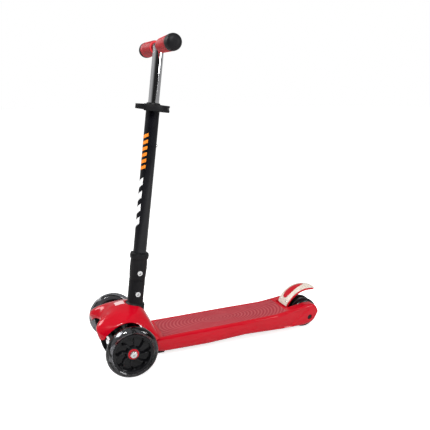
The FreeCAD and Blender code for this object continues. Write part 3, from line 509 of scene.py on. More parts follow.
def deck_floor_z(x):
    """Height of the deck's lower edge, rounded up at the rear lobe."""
    start, height = LOBE_FOOT
    if x >= start:
        return follow(DECK_FLOOR, x)
    share = min((start - x) / (start - DECK_END_X), 1.0)
    return LOBE_MIDDLE_Z - (LOBE_MIDDLE_Z - height) * math.sqrt(1.0 - share ** 2)


def side_scoop(x, z):
    """Hollow in the deck's side that ends in a slanting step where the rear lobe stands proud."""
    ahead = x - (-438.0 - (z - 17.7) * 1.25)
    fade = between(-ahead, 0.0, 4.0) if ahead < 0.0 else between(ahead, 0.0, 75.0)
    return SCOOP_DEPTH * (1.0 - fade) * between(SCOOP_TOP_Z - z, 0.0, 8.0)


def deck_section(x):
    """Closed ring round the deck at one station, from the top middle round the left side."""
    wide = follow(DECK_WIDE, x)
    top = deck_top_z(x)
    floor = deck_floor_z(x)
    tall = max(top - floor, 0.2)
    fit = min(tall / 34.0, 1.0)
    sink = PANEL_SINK * between(x, PANEL_REAR_X - 2.0, PANEL_REAR_X)
    sink *= between(-x, -PANEL_FRONT_X - 3.0, -PANEL_FRONT_X)
    half = [
        (0.0, top - sink), (wide * 0.4, top - sink), (wide - PANEL_MARGIN - 1.2, top - sink),
        (wide - PANEL_MARGIN, top), (wide - 6.0, top), (wide - 3.6, top - 0.6 * fit),
        (wide - 1.6, top - 2.0 * fit), (wide - 0.4, top - 4.0 * fit),
    ]
    high = top - 7.0 * fit
    low = floor + 6.0 * fit
    for k in range(SIDE_STEPS + 1):
        share = k / SIDE_STEPS
        z = high + (low - high) * share
        half.append((wide - 3.4 * share ** 2.4 - side_scoop(x, z), z))
    half += [(wide - 4.6, floor + 3.6 * fit), (wide - 6.8, floor + 1.6 * fit), (wide - 11.0, floor),
             (wide * 0.4, floor), (0.0, floor)]
    ring = [place(x, y, z) for y, z in half]
    ring += [place(x, -y, z) for y, z in reversed(half[1:-1])]
    return ring


def deck_stations():
    """Places of the sections along the deck, closest at the front end and round the lobe."""
    front = [-64.0, -70.0, -78.0, -86.0, PANEL_FRONT_X + 3.0, PANEL_FRONT_X]
    straight = [PANEL_FRONT_X - 12.0 * k for k in range(1, 23)]
    scooped = [straight[-1] - 12.0 - 3.0 * k for k in range(44)]
    reach = LOBE_FOOT[0] - DECK_END_X - 0.01
    lobe = [LOBE_FOOT[0] - reach * math.sin(math.radians(90.0 * k / 20.0)) for k in range(21)]
    return front + straight + scooped + lobe


def make_deck_shell():
    """Red deck with the wheel well, the ribbed pockets underneath and the axle recesses."""
    shell = skin("deck_shell", [deck_section(x) for x in deck_stations()], closed=True)
    tidy_normals(shell)
    subtract(shell, block("well", (-560.0, -437.0), (-29.0, 29.0), (-10.0, 120.0), 2.0))
    for row in range(5):
        ahead = -104.0 - row * POCKET_PITCH
        roof = deck_top_z(ahead) - 5.5
        for y_range in ((-51.0, -20.0), (-17.0, 17.0), (20.0, 51.0)):
            subtract(shell, block("pocket", (ahead - POCKET_LENGTH, ahead), y_range, (-10.0, roof), 1.5, 2))
    for side in (-1.0, 1.0):
        subtract(shell, axle_recess(side))
    smooth(shell, 32.0)
    return shell


def axle_recess(side):
    """Round pocket for the axle end in a rear lobe."""
    blank_slate()
    bpy.ops.mesh.primitive_cylinder_add(vertices=40, radius=7.0 * MM, depth=20.0 * MM,
                                        rotation=(math.radians(90.0), 0.0, 0.0))
    cutter = bpy.context.object
    cutter.location = place(REAR_X, side * 55.0, REAR_Z)
    bpy.ops.object.transform_apply(location=True, rotation=True, scale=True)
    return cutter


RIPPLE_MIDDLE_X = -252.0
RIPPLE_PITCH = 9.5
RIPPLE_HEIGHT = 1.0
RIPPLE_SQUASH = 1.9
OVAL_HALF_LENGTH = 50.0
FOOT_VALLEY = (0.30, 0.010, 0.022)
FOOT_RIDGE = (0.42, 0.060, 0.070)


def ripple_height(x, y):
    """Raised rings round a smooth oval in the middle of the foot panel."""
    reach = math.hypot(x - RIPPLE_MIDDLE_X, y * RIPPLE_SQUASH)
    wave = 0.5 + 0.5 * math.cos(2.0 * math.pi * (reach - OVAL_HALF_LENGTH) / RIPPLE_PITCH)
    fade = between(reach, OVAL_HALF_LENGTH - 3.0, OVAL_HALF_LENGTH - 1.0)
    return RIPPLE_HEIGHT * wave ** 1.5 * fade


def make_foot_panel():
    """Matte ribbed area let into the top of the deck."""
    rows = []
    step_count = 300
    side_count = 104
    for i in range(step_count + 1):
        x = PANEL_FRONT_X - 1.5 + (PANEL_REAR_X - PANEL_FRONT_X + 3.0) * i / step_count
        wide = follow(DECK_WIDE, x) - PANEL_MARGIN - 1.5
        row = []
        for j in range(side_count + 1):
            y = wide * (2.0 * j / side_count - 1.0)
            edge = min(wide - abs(y), PANEL_FRONT_X - 1.5 - x, x - (PANEL_REAR_X + 1.5))
            rise = ripple_height(x, y) * between(edge, 3.0, 6.0) + 0.25
            row.append(place(x, y, follow(DECK_TOP, x) - PANEL_SINK + rise * between(edge, -0.1, 0.5)))
        rows.append(row)
    panel = skin("foot_panel", rows)
    tidy_normals(panel)
    apply_modifier(panel, "SOLIDIFY", thickness=0.6 * MM, offset=-1.0)
    smooth(panel, 60.0)
    return panel


def footboard_red():
    """Matte red of the ribbed foot area, paler along the ridges and darker in the valleys, by an uneven amount."""
    material, tree, shader = new_material("footboard_red", (0.30, 0.02, 0.03), 0.5)
    middle = (-(RIPPLE_MIDDLE_X + AXLE_X) * MM, 0.0, 0.0)
    source = tree.nodes.new("ShaderNodeTexCoord")
    shift = tree.nodes.new("ShaderNodeVectorMath")
    shift.operation = "ADD"
    shift.inputs[1].default_value = middle
    flatten = tree.nodes.new("ShaderNodeVectorMath")
    flatten.operation = "MULTIPLY"
    flatten.inputs[1].default_value = (1.0, RIPPLE_SQUASH, 0.0)
    reach = tree.nodes.new("ShaderNodeVectorMath")
    reach.operation = "LENGTH"
    tree.links.new(source.outputs["Object"], shift.inputs[0])
    tree.links.new(shift.outputs["Vector"], flatten.inputs[0])
    tree.links.new(flatten.outputs["Vector"], reach.inputs[0])
    turns = math_node(tree, "MULTIPLY_ADD", reach.outputs["Value"], 2.0 * math.pi / (RIPPLE_PITCH * MM),
                      -2.0 * math.pi * OVAL_HALF_LENGTH / RIPPLE_PITCH)
    spread = tree.nodes.new("ShaderNodeMapRange")
    spread.inputs["From Min"].default_value = -1.0
    tree.links.new(math_node(tree, "COSINE", turns), spread.inputs["Value"])
    scuffs = noise(tree, 45.0, 5.0)
    # Paler on the ridges and darker in the valleys, unevenly.
    ridge_paleness = math_node(tree, "MULTIPLY", spread.outputs["Result"], value_range(tree, scuffs, 0.35, 1.25))
    tree.links.new(ramp(tree, ridge_paleness, FOOT_VALLEY, FOOT_RIDGE, 0.15, 0.85), shader.inputs["Base Color"])
    tree.links.new(value_range(tree, scuffs, 0.40, 0.58), shader.inputs["Roughness"])
    bump(tree, shader, noise(tree, 1500.0, 2.0), 0.3, 0.0002)
    return material


# ---------------------------------------------------------------- hood
COLUMN_LEAN = math.radians(7.3)
COLUMN_FOOT = (-37.0, 0.0, 135.0)

# Side profiles of the hood at rising distance from the middle plane.  Each runs from the rear
# foot, over the stem boss and along the prong to its lower front edge.
HOOD_SLICES = [
    (0.0, [(-80, 57), (-73, 74), (-66, 92), (-57, 111), (-48, 125), (-36, 132), (-18, 134), (-2, 134),
           (12, 132.5), (24, 129), (35, 121), (43, 111), (48, 103), (48.5, 96)]),
    (12.0, [(-80, 57), (-73, 74), (-66, 92), (-57, 111), (-48, 125), (-36, 132), (-18, 134), (-2, 134),
            (12, 131.5), (24, 128), (35, 120.5), (44, 110.5), (49.5, 103), (51, 97.5)]),
    (24.0, [(-80, 57), (-73, 75), (-66, 93), (-57, 111), (-47, 124), (-36, 130.5), (-20, 132), (-4, 131.5),
            (12, 130), (25, 127), (38, 120.5), (48.5, 112.5), (55, 104), (56, 96)]),
    (34.0, [(-80, 57), (-73, 75), (-65, 92), (-56, 109), (-46, 122), (-36, 128), (-22, 129.5), (-6, 129),
            (12, 128), (29, 125), (45, 119.5), (57, 111.5), (62.5, 101.5), (61, 91)]),
    (44.0, [(-80, 57), (-73, 75), (-65, 91), (-56, 106), (-45, 118.5), (-35, 124.5), (-22, 126), (-6, 126),
            (12, 125), (31, 122), (49, 116.5), (62, 108.5), (67, 98.5), (63, 85)]),
    (54.0, [(-80, 57), (-73, 74), (-64, 88), (-54, 101.5), (-43, 112.5), (-33, 119.5), (-20, 122.5),
            (-5, 122.5), (12, 120.5), (31, 117.5), (50, 112), (62.5, 105), (67.5, 95.5), (63, 78)]),
    (61.0, [(-80, 57), (-72.5, 71), (-64, 83), (-54, 94), (-43, 104), (-32, 112), (-19, 117.5),
            (-4, 119), (12, 117.5), (30, 113.5), (47, 108), (58.5, 101), (64.5, 93.5), (61, 76)]),
    (67.0, [(-76, 57), (-70, 69), (-62.5, 79.5), (-53, 89.5), (-42.5, 99), (-31, 107.5), (-18, 113.8),
            (-4, 116), (12, 114.5), (28, 109.5), (42, 102.8), (52, 96), (58.5, 89.5), (58, 77.5)]),
    (70.5, [(-70, 57), (-66.5, 67), (-59.5, 76.5), (-51, 86), (-41, 95), (-30, 103.5), (-17, 110.5),
            (-4, 113.5), (10, 112), (24, 107), (36, 99.5), (45.5, 92), (52, 85), (55, 79)]),
    (71.2, [(-67, 57), (-64.5, 66), (-58, 75), (-50, 84.5), (-40.5, 93.5), (-29, 102), (-16.5, 109),
            (-4, 111.5), (9.5, 110), (23, 105), (34.5, 98), (44, 90.5), (50.5, 83.5), (54, 79.5)]),
]


def spline_through(values, t):
    """Catmull-Rom value through evenly spaced numbers at t in 0..1."""
    last = len(values) - 1
    place_on = min(max(t, 0.0), 1.0) * last
    i = min(int(place_on), last - 1)
    f = place_on - i
    a = values[max(i - 1, 0)]
    b = values[i]
    c = values[i + 1]
    d = values[min(i + 2, last)]
    return b + 0.5 * f * (c - a + f * (2 * a - 5 * b + 4 * c - d + f * (3 * (b - c) + d - a)))


def curve_point(points, t):
    """Point on a smooth curve through (x, z) points at t in 0..1."""
    return spline_through([x for x, _ in points], t), spline_through([z for _, z in points], t)


def hood_point(across, along):
    """Point on the hood's left half: across from the middle to the side, along from rear to front."""
    crossing = [(y, *curve_point(points, along)) for y, points in HOOD_SLICES]
    y, x, z = [spline_through([point[axis] for point in crossing], across) for axis in range(3)]
    return x, y, z


def make_hood_shell():
    """Red cowl with two prongs, open below, with the hole for the stem."""
    across_count = 36
    along_count = 64
    rows = []
    for i in range(-across_count, across_count + 1):
        side = -1.0 if i < 0 else 1.0
        row = []
        for j in range(along_count + 1):
            x, y, z = hood_point(abs(i) / across_count, j / along_count)
            row.append(place(x, side * y, z))
        rows.append(row)
    hood = skin("hood_shell", rows)
    tidy_normals(hood)
    apply_modifier(hood, "SOLIDIFY", thickness=3.2 * MM, offset=-1.0, use_even_offset=False)
    subtract(hood, stem_hole_cutter())
    apply_modifier(hood, "BEVEL", width=0.9 * MM, segments=3, limit_method="ANGLE",
                   angle_limit=math.radians(50.0))
    smooth(hood, 40.0)
    return hood


def column_point(up, forward=0.0, left=0.0):
    """Point in metres from millimetres along and square to the leaning column."""
    x = COLUMN_FOOT[0] - math.sin(COLUMN_LEAN) * up + math.cos(COLUMN_LEAN) * forward
    z = COLUMN_FOOT[2] + math.cos(COLUMN_LEAN) * up + math.sin(COLUMN_LEAN) * forward
    return place(x, left, z)


def column_stand():
    """Turn and shift from the upright Z axis onto the leaning column."""
    return Matrix.Translation(column_point(0.0)) @ Matrix.Rotation(-COLUMN_LEAN, 4, "Y")


def stem_hole_cutter():
    """Round bar that cuts the hole for the stem."""
    blank_slate()
    bpy.ops.mesh.primitive_cylinder_add(vertices=72, radius=24.3 * MM, depth=90.0 * MM)
    cutter = bpy.context.object
    cutter.data.transform(column_stand())
    return cutter


# ---------------------------------------------------------------- turned and softened pieces
SOFT_ANGLE = 42.0

# Height up the column of the clamp lever, and how far forward its taper starts and ends.
LEVER_MIDDLE = 466.0
LEVER_START = 2.0
LEVER_TIP = 43.0


def turn_across(name, profile, middle_x, middle_z, steps=96):
    """Turn a closed (radius, y) profile round an axis parallel to Y."""
    centre = place(middle_x, 0.0, middle_z)
    vertices = [centre + Vector((radius * MM, y * MM, 0.0)) for radius, y in profile]
    return spin_profile(name, vertices, centre, (0.0, 1.0, 0.0), steps)


def turn_upright(name, profile, steps=96):
    """Turn a closed (radius, height) profile round the Z axis."""
    vertices = [Vector((radius * MM, 0.0, height * MM)) for radius, height in profile]
    return spin_profile(name, vertices, Vector((0.0, 0.0, 0.0)), (0.0, 0.0, 1.0), steps)


def spin_profile(name, vertices, centre, axis, steps):
    """Spin a closed ring of points once round an axis."""
    count = len(vertices)
    piece = mesh_piece(name, vertices, [(k, (k + 1) % count) for k in range(count)], [])
    open_mesh(piece)
    bpy.ops.mesh.spin(steps=steps, angle=math.radians(360.0), center=centre, axis=axis)
    close_mesh()
    tidy_normals(piece)
    return piece


def arc_points(centre, radius, start, end, count):
    """Points on an arc, angles in degrees."""
    points = []
    for k in range(count + 1):
        angle = math.radians(start + (end - start) * k / count)
        points.append((centre[0] + radius * math.cos(angle), centre[1] + radius * math.sin(angle)))
    return points


def copy_node(name, node_name):
    """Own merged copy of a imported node's mesh."""
    piece = put_in_scene(name, nodes[node_name].data.copy())
    open_mesh(piece)
    bpy.ops.mesh.remove_doubles(threshold=MERGE_REACH / 2.0)
    bpy.ops.mesh.dissolve_limited(angle_limit=math.radians(0.8), delimit={"NORMAL"})
    close_mesh()
    return piece


def soften(node_name, body, slot_name, width):
    """Stand-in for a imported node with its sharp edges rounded."""
    piece = copy_node(node_name + "_soft", node_name)
    apply_modifier(piece, "BEVEL", width=width * MM, segments=3, limit_method="ANGLE",
                   angle_limit=math.radians(38.0), harden_normals=False)
    smooth(piece, SOFT_ANGLE)
    return dress(piece, slot_name, body, node_name)


def taper_to_front(piece, middle, start, end, share):
    """Thin a piece on the column towards its front, about the height of its middle."""
    stand = column_stand()
    back = stand.inverted()
    for vertex in piece.data.vertices:
        point = back @ vertex.co
        reach = min(max((point.x / MM - start) / (end - start), 0.0), 1.0)
        point.z = middle * MM + (point.z - middle * MM) * (1.0 - share * reach * reach)
        vertex.co = stand @ point
    smooth(piece, SOFT_ANGLE)
    return piece


def mirror_copy(piece, name):
    """Separate copy on the other side of the middle plane."""
    twin = put_in_scene(name, piece.data.copy())
    twin.data.transform(Matrix.Diagonal((1.0, -1.0, 1.0, 1.0)))
    open_mesh(twin)
    bpy.ops.mesh.flip_normals()
    close_mesh()
    return twin


def tread_arc(radius, crown, half_width, middle_y, reach):
    """Rounded tread as (radius, y) points, up to an angle on each side."""
    return [(radius - crown + crown * math.cos(math.radians(angle)),
             middle_y + half_width * math.sin(math.radians(angle)))
            for angle in range(-reach, reach + 1, 8)]


# ---------------------------------------------------------------- front wheels
_, WHEEL_Y, WHEEL_Z = joint_place("front_left_spin")
CORE_RADIUS = 47.0
BLADE_COUNT = 8
BLADE_DEPTH = 17.6


def make_front_tyre():
    """Clear tyre: round tread, soft shoulders, a bead that wraps the core."""
    profile = tread_arc(WHEEL_Z, 12.5, 12.0, WHEEL_Y, 76)
    profile += [(48.6, WHEEL_Y + 11.7), (CORE_RADIUS + 0.05, WHEEL_Y + 10.6)]
    profile += [(CORE_RADIUS + 0.05, WHEEL_Y - 10.6), (48.6, WHEEL_Y - 11.7)]
    tyre = turn_across("clear_tyre_left", profile, 0.0, WHEEL_Z, 120)
    smooth(tyre, 30.0)
    return tyre


def make_blade():
    """One swept blade of the wheel core, standing between boss and rim."""
    front_edge = arc_points((22.0, -21.0), 24.0, 128.0, 30.0, 12)
    rear_edge = arc_points((19.5, -13.5), 20.5, 42.0, 128.0, 12)
    outline = front_edge + [(41.0, 5.0)] + rear_edge
    vertices = [place(u, WHEEL_Y - BLADE_DEPTH / 2.0, WHEEL_Z + v) for u, v in outline]
    blade = mesh_piece("blade", vertices, [], [tuple(range(len(vertices)))])
    open_mesh(blade)
    bpy.ops.mesh.extrude_region_move(TRANSFORM_OT_translate={"value": (0.0, BLADE_DEPTH * MM, 0.0)})
    bpy.ops.mesh.select_all(action="SELECT")
    bpy.ops.mesh.normals_make_consistent(inside=False)
    close_mesh()
    apply_modifier(blade, "BEVEL", width=0.9 * MM, segments=3, limit_method="ANGLE",
                   angle_limit=math.radians(60.0))
    return blade


def make_front_core():
    """Black core: flanged rim, dished web, bearing boss and swept blades."""
    y = WHEEL_Y
    rim = turn_across("core_left", [
        (CORE_RADIUS, y - 10.5), (CORE_RADIUS, y + 10.5), (45.6, y + 11.2), (42.6, y + 11.2),
        (41.2, y + 10.2), (40.2, y + 4.0), (39.8, y), (40.2, y - 4.0), (41.2, y - 10.2),
        (42.6, y - 11.2), (45.6, y - 11.2)], 0.0, WHEEL_Z)
    boss = turn_across("boss", [
        (11.0, y - 11.3), (11.0, y + 11.3), (12.2, y + 11.8), (14.6, y + 11.4), (16.4, y + 9.4),
        (18.2, y + 3.2), (28.0, y + 1.6), (40.6, y + 1.9), (40.6, y - 1.9), (28.0, y - 1.6),
        (18.2, y - 3.2), (16.4, y - 9.4), (14.6, y - 11.4), (12.2, y - 11.8)], 0.0, WHEEL_Z)
    blade = make_blade()
    blades = [blade]
    middle = place(0.0, 0.0, WHEEL_Z)
    for k in range(1, BLADE_COUNT):
        turn = Matrix.Translation(middle) @ Matrix.Rotation(2.0 * math.pi * k / BLADE_COUNT, 4, "Y")
        twin = put_in_scene("blade", blade.data.copy())
        twin.data.transform(turn @ Matrix.Translation(-middle))
        blades.append(twin)
    core = join("core_left", [rim, boss] + blades)
    smooth(core, 36.0)
    return core


def make_bearing_seal():
    """Red dust seal round the axle bolt, flush with the boss."""
    y = WHEEL_Y + 11.6
    seal = turn_across("bearing_seal_left", [
        (8.3, y - 0.6), (8.3, y + 0.2), (9.0, y + 0.5), (11.6, y + 0.5), (12.2, y + 0.1),
        (12.2, y - 0.6)], 0.0, WHEEL_Z, 64)
    smooth(seal, 40.0)
    return seal


# ---------------------------------------------------------------- rear wheels
REAR_WEB = 26.2


def make_rear_tyre():
    """Rounded black tyre with its bead on the rear core."""
    profile = tread_arc(REAR_Z, 9.0, 11.4, REAR_Y, 80)
    profile += [(28.0, REAR_Y + 11.2), (REAR_WEB, REAR_Y + 10.4), (REAR_WEB, REAR_Y - 10.4),
                (28.0, REAR_Y - 11.2)]
    tyre = turn_across("rear_tyre_left_round", profile, REAR_X, REAR_Z)
    smooth(tyre, 30.0)
    return tyre


# ---------------------------------------------------------------- grips
BAR_UP = 603.0


def make_grip():
    """Left grip: soft ribs that grow towards a flared outer end."""
    start = GRIP_START
    end = GRIP_END
    outer = [(12.6, start), (14.4, start + 0.6), (15.4, start + 2.4), (14.6, GRIP_RIB_START)]
    for k in range(GRIP_RIBS):
        swell = 1.4 * k / (GRIP_RIBS - 1)
        for part in range(8):
            y = GRIP_RIB_START + GRIP_PITCH * (k + part / 8.0)
            wave = math.sin(math.pi * part / 8.0) ** 0.7
            outer.append((14.2 + swell + 2.1 * wave, y))
    outer += [(15.9, end - GRIP_FLARE), (17.2, end - 4.5), (17.6, end - 1.5), (17.3, end)]
    profile = outer + [(11.05, end), (11.05, start)]
    return turn_on_bar("grip_left_ribbed", profile)


def turn_on_bar(name, profile):
    """Turn a (radius, y) profile round the handlebar."""
    centre = column_point(BAR_UP)
    vertices = [centre + Vector((radius * MM, y * MM, 0.0)) for radius, y in profile]
    piece = spin_profile(name, vertices, centre, (0.0, 1.0, 0.0), 96)
    smooth(piece, 40.0)
    return piece


def make_grip_cap():
    """Black end of the grip: a sleeve that closes in a blunt egg."""
    start = GRIP_END + 0.05
    dome = [(17.2, start), (18.0, start + 0.9), (18.2, start + 3.0), (18.2, 109.0), (17.9, 113.0),
            (17.1, 116.8), (15.6, 120.0), (13.2, 122.6), (10.0, 124.4), (6.4, 125.3), (3.0, 125.5),
            (0.02, 125.5)]
    return turn_on_bar("grip_cap_left", dome + [(0.02, 118.1), (10.9, 118.1), (11.02, start)])


# ---------------------------------------------------------------- stripes on the column
TUBE_RADIUS = 16.0
STRIPE_LIFT = 0.12

# Ink, count, foot of the lowest stripe up the tube, pitch, height, start and end angle, slant.
STRIPE_SETS = (("orange", (0.85, 0.24, 0.01), 6, 320.0, 14.6, 8.0, -2.0, 58.0, 7.0),
               ("white", (0.85, 0.85, 0.86), 4, 183.0, 31.0, 17.0, -8.0, 46.0, 12.0))


def make_stripe(name, low, high, start, end, slant):
    """Thin printed bar that wraps part of the tube and slants upwards as it goes round."""
    radius = TUBE_RADIUS + STRIPE_LIFT
    rows = []
    for i in range(5):
        row = []
        for j in range(17):
            share = j / 16.0
            angle = math.radians(start + (end - start) * share)
            up = low + (high - low) * i / 4.0 + slant * share
            row.append(column_point(up, radius * math.cos(angle), radius * math.sin(angle)))
        rows.append(row)
    stripe = skin(name, rows)
    tidy_normals(stripe)
    apply_modifier(stripe, "SOLIDIFY", thickness=STRIPE_LIFT * MM, offset=0.0)
    smooth(stripe, 40.0)
    return stripe


def printed(name, color):
    """Satin screen print with slight wear."""
    material, tree, shader = new_material(name, color, 0.4)
    wear = noise(tree, 260.0, 5.0)
    darker = tuple(channel * 0.82 for channel in color)
    tree.links.new(ramp(tree, wear, darker, color, 0.3, 0.42), shader.inputs["Base Color"])
    tree.links.new(value_range(tree, wear, 0.32, 0.5), shader.inputs["Roughness"])
    return material


# ---------------------------------------------------------------- mudguard brake
# Middle line of the mudguard (x, z) from foot to tip, its half width, and how far its sides droop.
GUARD_LINE = [(-441.0, 60.0), (-446.0, 75.0), (-454.5, 89.5), (-467.0, 101.5), (-483.0, 110.5),
              (-501.0, 114.5), (-518.0, 113.5), (-530.5, 109.5), (-538.0, 104.0)]
GUARD_WIDE = [23.8, 25.5, 27.0, 27.5, 27.0, 26.0, 24.0, 20.0, 11.0]
GUARD_DROOP = [0.8, 1.8, 3.2, 4.6, 5.6, 6.0, 5.6, 4.4, 2.6]
GUARD_STEP = 0.004
PIN_X, _, PIN_Z = joint_place("brake_press")


def guard_point(along, across, lift):
    """Point on the domed mudguard: along 0..1 from foot to tip, across -1..1, lift in mm."""
    x, z = curve_point(GUARD_LINE, along)
    ahead_x, ahead_z = curve_point(GUARD_LINE, min(along + GUARD_STEP, 1.0))
    behind_x, behind_z = curve_point(GUARD_LINE, max(along - GUARD_STEP, 0.0))
    run_x = ahead_x - behind_x
    run_z = ahead_z - behind_z
    length = math.hypot(run_x, run_z)
    out_x = run_z / length
    out_z = -run_x / length
    wide = spline_through(GUARD_WIDE, along)
    rise = lift - spline_through(GUARD_DROOP, along) * across * across
    return place(x + out_x * rise, wide * across, z + out_z * rise)


def guard_sheet(name, start, end, inset, lift, thickness):
    """Sheet that follows the mudguard, set in from its edges."""
    steps = 44
    columns = 24
    rows = []
    for i in range(steps + 1):
        along = start + (end - start) * i / steps
        wide = spline_through(GUARD_WIDE, along)
        reach = max(wide - inset, 0.3) / wide
        rows.append([guard_point(along, reach * (2.0 * j / columns - 1.0), lift)
                     for j in range(columns + 1)])
    sheet = skin(name, rows)
    tidy_normals(sheet)
    return finish_sheet(sheet, thickness)


def finish_sheet(sheet, thickness):
    """Turn the sheet's faces outwards, give it a wall inwards and round its rim."""
    upwards = sum(face.normal.z for face in sheet.data.polygons)
    if upwards < 0.0:
        open_mesh(sheet)
        bpy.ops.mesh.flip_normals()
        close_mesh()
    apply_modifier(sheet, "SOLIDIFY", thickness=thickness * MM, offset=-1.0)
    apply_modifier(sheet, "BEVEL", width=0.35 * MM, segments=2, limit_method="ANGLE",
                   angle_limit=math.radians(50.0))
    smooth(sheet, 40.0)
    return sheet


def make_guard_island():
    """Raised teardrop in the middle of the pale plate."""
    rows = []
    steps = 40
    columns = 12
    for i in range(steps + 1):
        share = i / steps
        along = 0.20 + 0.46 * share
        half = 11.2 * math.sin(math.pi * share ** 0.62) ** 0.62 + 0.25
        wide = spline_through(GUARD_WIDE, along)
        rows.append([guard_point(along, half / wide * (2.0 * j / columns - 1.0), 2.3)
                     for j in range(columns + 1)])
    island = skin("guard_island", rows)
    tidy_normals(island)
    return finish_sheet(island, 2.0)


def make_guard_hinge():
    """Two barrels round the brake pin, with their webs up to the mudguard."""
    pieces = []
    for low, high in ((-23.0, -8.0), (8.0, 23.0)):
        barrel = turn_across("barrel", [(3.06, low), (5.3, low), (5.9, low + 0.6), (5.9, high - 0.6),
                                        (5.3, high), (3.06, high)], PIN_X, PIN_Z, 48)
        web = block("web", (PIN_X - 2.6, PIN_X + 2.6), (low + 0.3, high - 0.3), (54.5, 60.5), 0.6, 2)
        pieces += [barrel, web]
    hinge = join("guard_hinge", pieces)
    smooth(hinge, 40.0)
    return hinge


def make_guard_screw(name, along, across):
    """Small domed screw seated on the plate."""
    seat = guard_point(along, across, 1.2)
    above = guard_point(along, across, 3.2)
    screw = turn_upright(name, [(0.02, -0.6), (2.3, -0.6), (2.5, 0.15), (2.2, 0.7), (1.5, 1.05),
                                (0.75, 1.15), (0.7, 0.5), (0.02, 0.5)], 32)
    turn = (above - seat).to_track_quat("Z", "Y").to_matrix().to_4x4()
    screw.data.transform(Matrix.Translation(seat) @ turn)
    smooth(screw, 40.0)
    return screw


# ---------------------------------------------------------------- label on the hood
def make_hood_label(low_across, high_across, low_along, high_along):
    """Plain pale label laid on the hood."""
    rows = []
    for i in range(9):
        row = []
        for j in range(9):
            across = low_across + (high_across - low_across) * i / 8.0
            along = low_along + (high_along - low_along) * j / 8.0
            x, y, z = hood_point(abs(across), along)
            row.append(place(x, y if across > 0.0 else -y, z + 0.15))
        rows.append(row)
    label = skin("hood_label", rows)
    tidy_normals(label)
    apply_modifier(label, "SOLIDIFY", thickness=0.12 * MM, offset=0.0)
    smooth(label, 40.0)
    return label


# ---------------------------------------------------------------- dark inside of the front, painted shade
SKIRT_LINE = [(42.5, 24.5), (46.5, 32.0), (49.5, 44.0), (51.0, 58.0), (51.5, 72.0), (51.5, 88.0)]
SKIRT_HALF_WIDTH = 46.0
LINER_REACH = 0.8


def make_arch_liner():
    """Black inner shell under the hood that hides the steering; a dark sheet that paints the shade under the hood.
    """
    rows = []
    for i in range(25):
        across = LINER_REACH * (2.0 * i / 24.0 - 1.0)
        row = []
        for j in range(25):
            along = 0.10 + 0.82 * j / 24.0
            x, y, z = hood_point(abs(across), along)
            row.append(place(x * 0.93 - 1.0, math.copysign(y, across) * 0.98, z - 5.0))
        row.append(place(44.0, 56.0 * across / LINER_REACH, 70.0))
        rows.append(row)
    liner = skin("arch_liner", rows)
    tidy_normals(liner)
    apply_modifier(liner, "SOLIDIFY", thickness=1.2 * MM, offset=0.0)
    subtract(liner, stem_hole_cutter())
    smooth(liner, 40.0)
    return liner


def make_front_skirt():
    """Curved black panel between the cover and the prongs, a black part that also paints the shade under the arch.
    """
    rows = []
    for i in range(25):
        y = SKIRT_HALF_WIDTH * (2.0 * i / 24.0 - 1.0)
        bow = 5.0 * (y / SKIRT_HALF_WIDTH) ** 2
        rows.append([place(x - bow, y, z) for x, z in SKIRT_LINE])
    skirt = skin("front_skirt", rows)
    tidy_normals(skirt)
    apply_modifier(skirt, "SOLIDIFY", thickness=2.0 * MM, offset=0.0)
    apply_modifier(skirt, "BEVEL", width=0.6 * MM, segments=2, limit_method="ANGLE",
                   angle_limit=math.radians(50.0))
    smooth(skirt, 40.0)
    return skirt


# ---------------------------------------------------------------- build
dress(make_deck_shell(), "red_shell", "frame", "deck")
dress(make_foot_panel(), "red_shell", "frame", material=footboard_red())
dress(make_hood_shell(), "red_shell", "frame", "front_hood")
# Painted shade: the arch liner and the front skirt wear a flat black that mirrors nothing.
painted_shade_material = painted_shade_black()
dress(make_arch_liner(), "black_plastic", "frame", material=painted_shade_material)
dress(make_front_skirt(), "black_plastic", "frame", material=painted_shade_material)
dress(make_hood_label(-0.14, 0.06, 0.50, 0.62), "pale_plate", "frame",
      material=printed("label_print", (0.75, 0.52, 0.52)))

front_tyre = make_front_tyre()
front_core = make_front_core()
front_seal = make_bearing_seal()
dress(mirror_copy(front_tyre, "clear_tyre_right"), "clear_tyre", "front_wheel_right", "front_tyre_right")
dress(mirror_copy(front_core, "core_right"), "gloss_black", "front_wheel_right", "front_hub_right")
dress(mirror_copy(front_seal, "bearing_seal_right"), "red_shell", "front_wheel_right")
dress(front_tyre, "clear_tyre", "front_wheel_left", "front_tyre_left")
dress(front_core, "gloss_black", "front_wheel_left", "front_hub_left")
dress(front_seal, "red_shell", "front_wheel_left")

rear_tyre = make_rear_tyre()
dress(mirror_copy(rear_tyre, "rear_tyre_right_round"), "black_tyre", "rear_wheel_right", "rear_tyre_right")
dress(rear_tyre, "black_tyre", "rear_wheel_left", "rear_tyre_left")

grip = make_grip()
cap = make_grip_cap()
dress(mirror_copy(grip, "grip_right_ribbed"), "red_grip", "handlebar", "grip_right")
dress(mirror_copy(cap, "grip_cap_right"), "black_rubber", "handlebar")
dress(grip, "red_grip", "handlebar", "grip_left")
dress(cap, "black_rubber", "handlebar", "grip_caps")

dress(guard_sheet("guard_shell", 0.0, 1.0, 0.0, 0.0, 3.0), "red_shell", "brake", "brake_fender")
dress(guard_sheet("guard_plate", 0.07, 0.965, 3.0, 1.3, 1.6), "pale_plate", "brake", "brake_plate")
dress(make_guard_island(), "red_shell", "brake")
dress(make_guard_hinge(), "red_shell", "brake")
dress(make_guard_screw("guard_screw_left", 0.155, 0.55), "steel", "brake", "plate_screws")
dress(make_guard_screw("guard_screw_right", 0.155, -0.55), "steel", "brake")
dress(make_guard_screw("guard_screw_tip", 0.80, 0.0), "steel", "brake")

for ink_name, ink_color, count, foot, pitch, height, start, end, slant in STRIPE_SETS:
    ink = printed(ink_name + "_print", ink_color)
    for k in range(count):
        low = foot + pitch * k
        stripe = make_stripe(ink_name + "_stripe_" + str(k + 1), low, low + height, start, end, slant)
        dress(stripe, "black_paint", "column", material=ink)

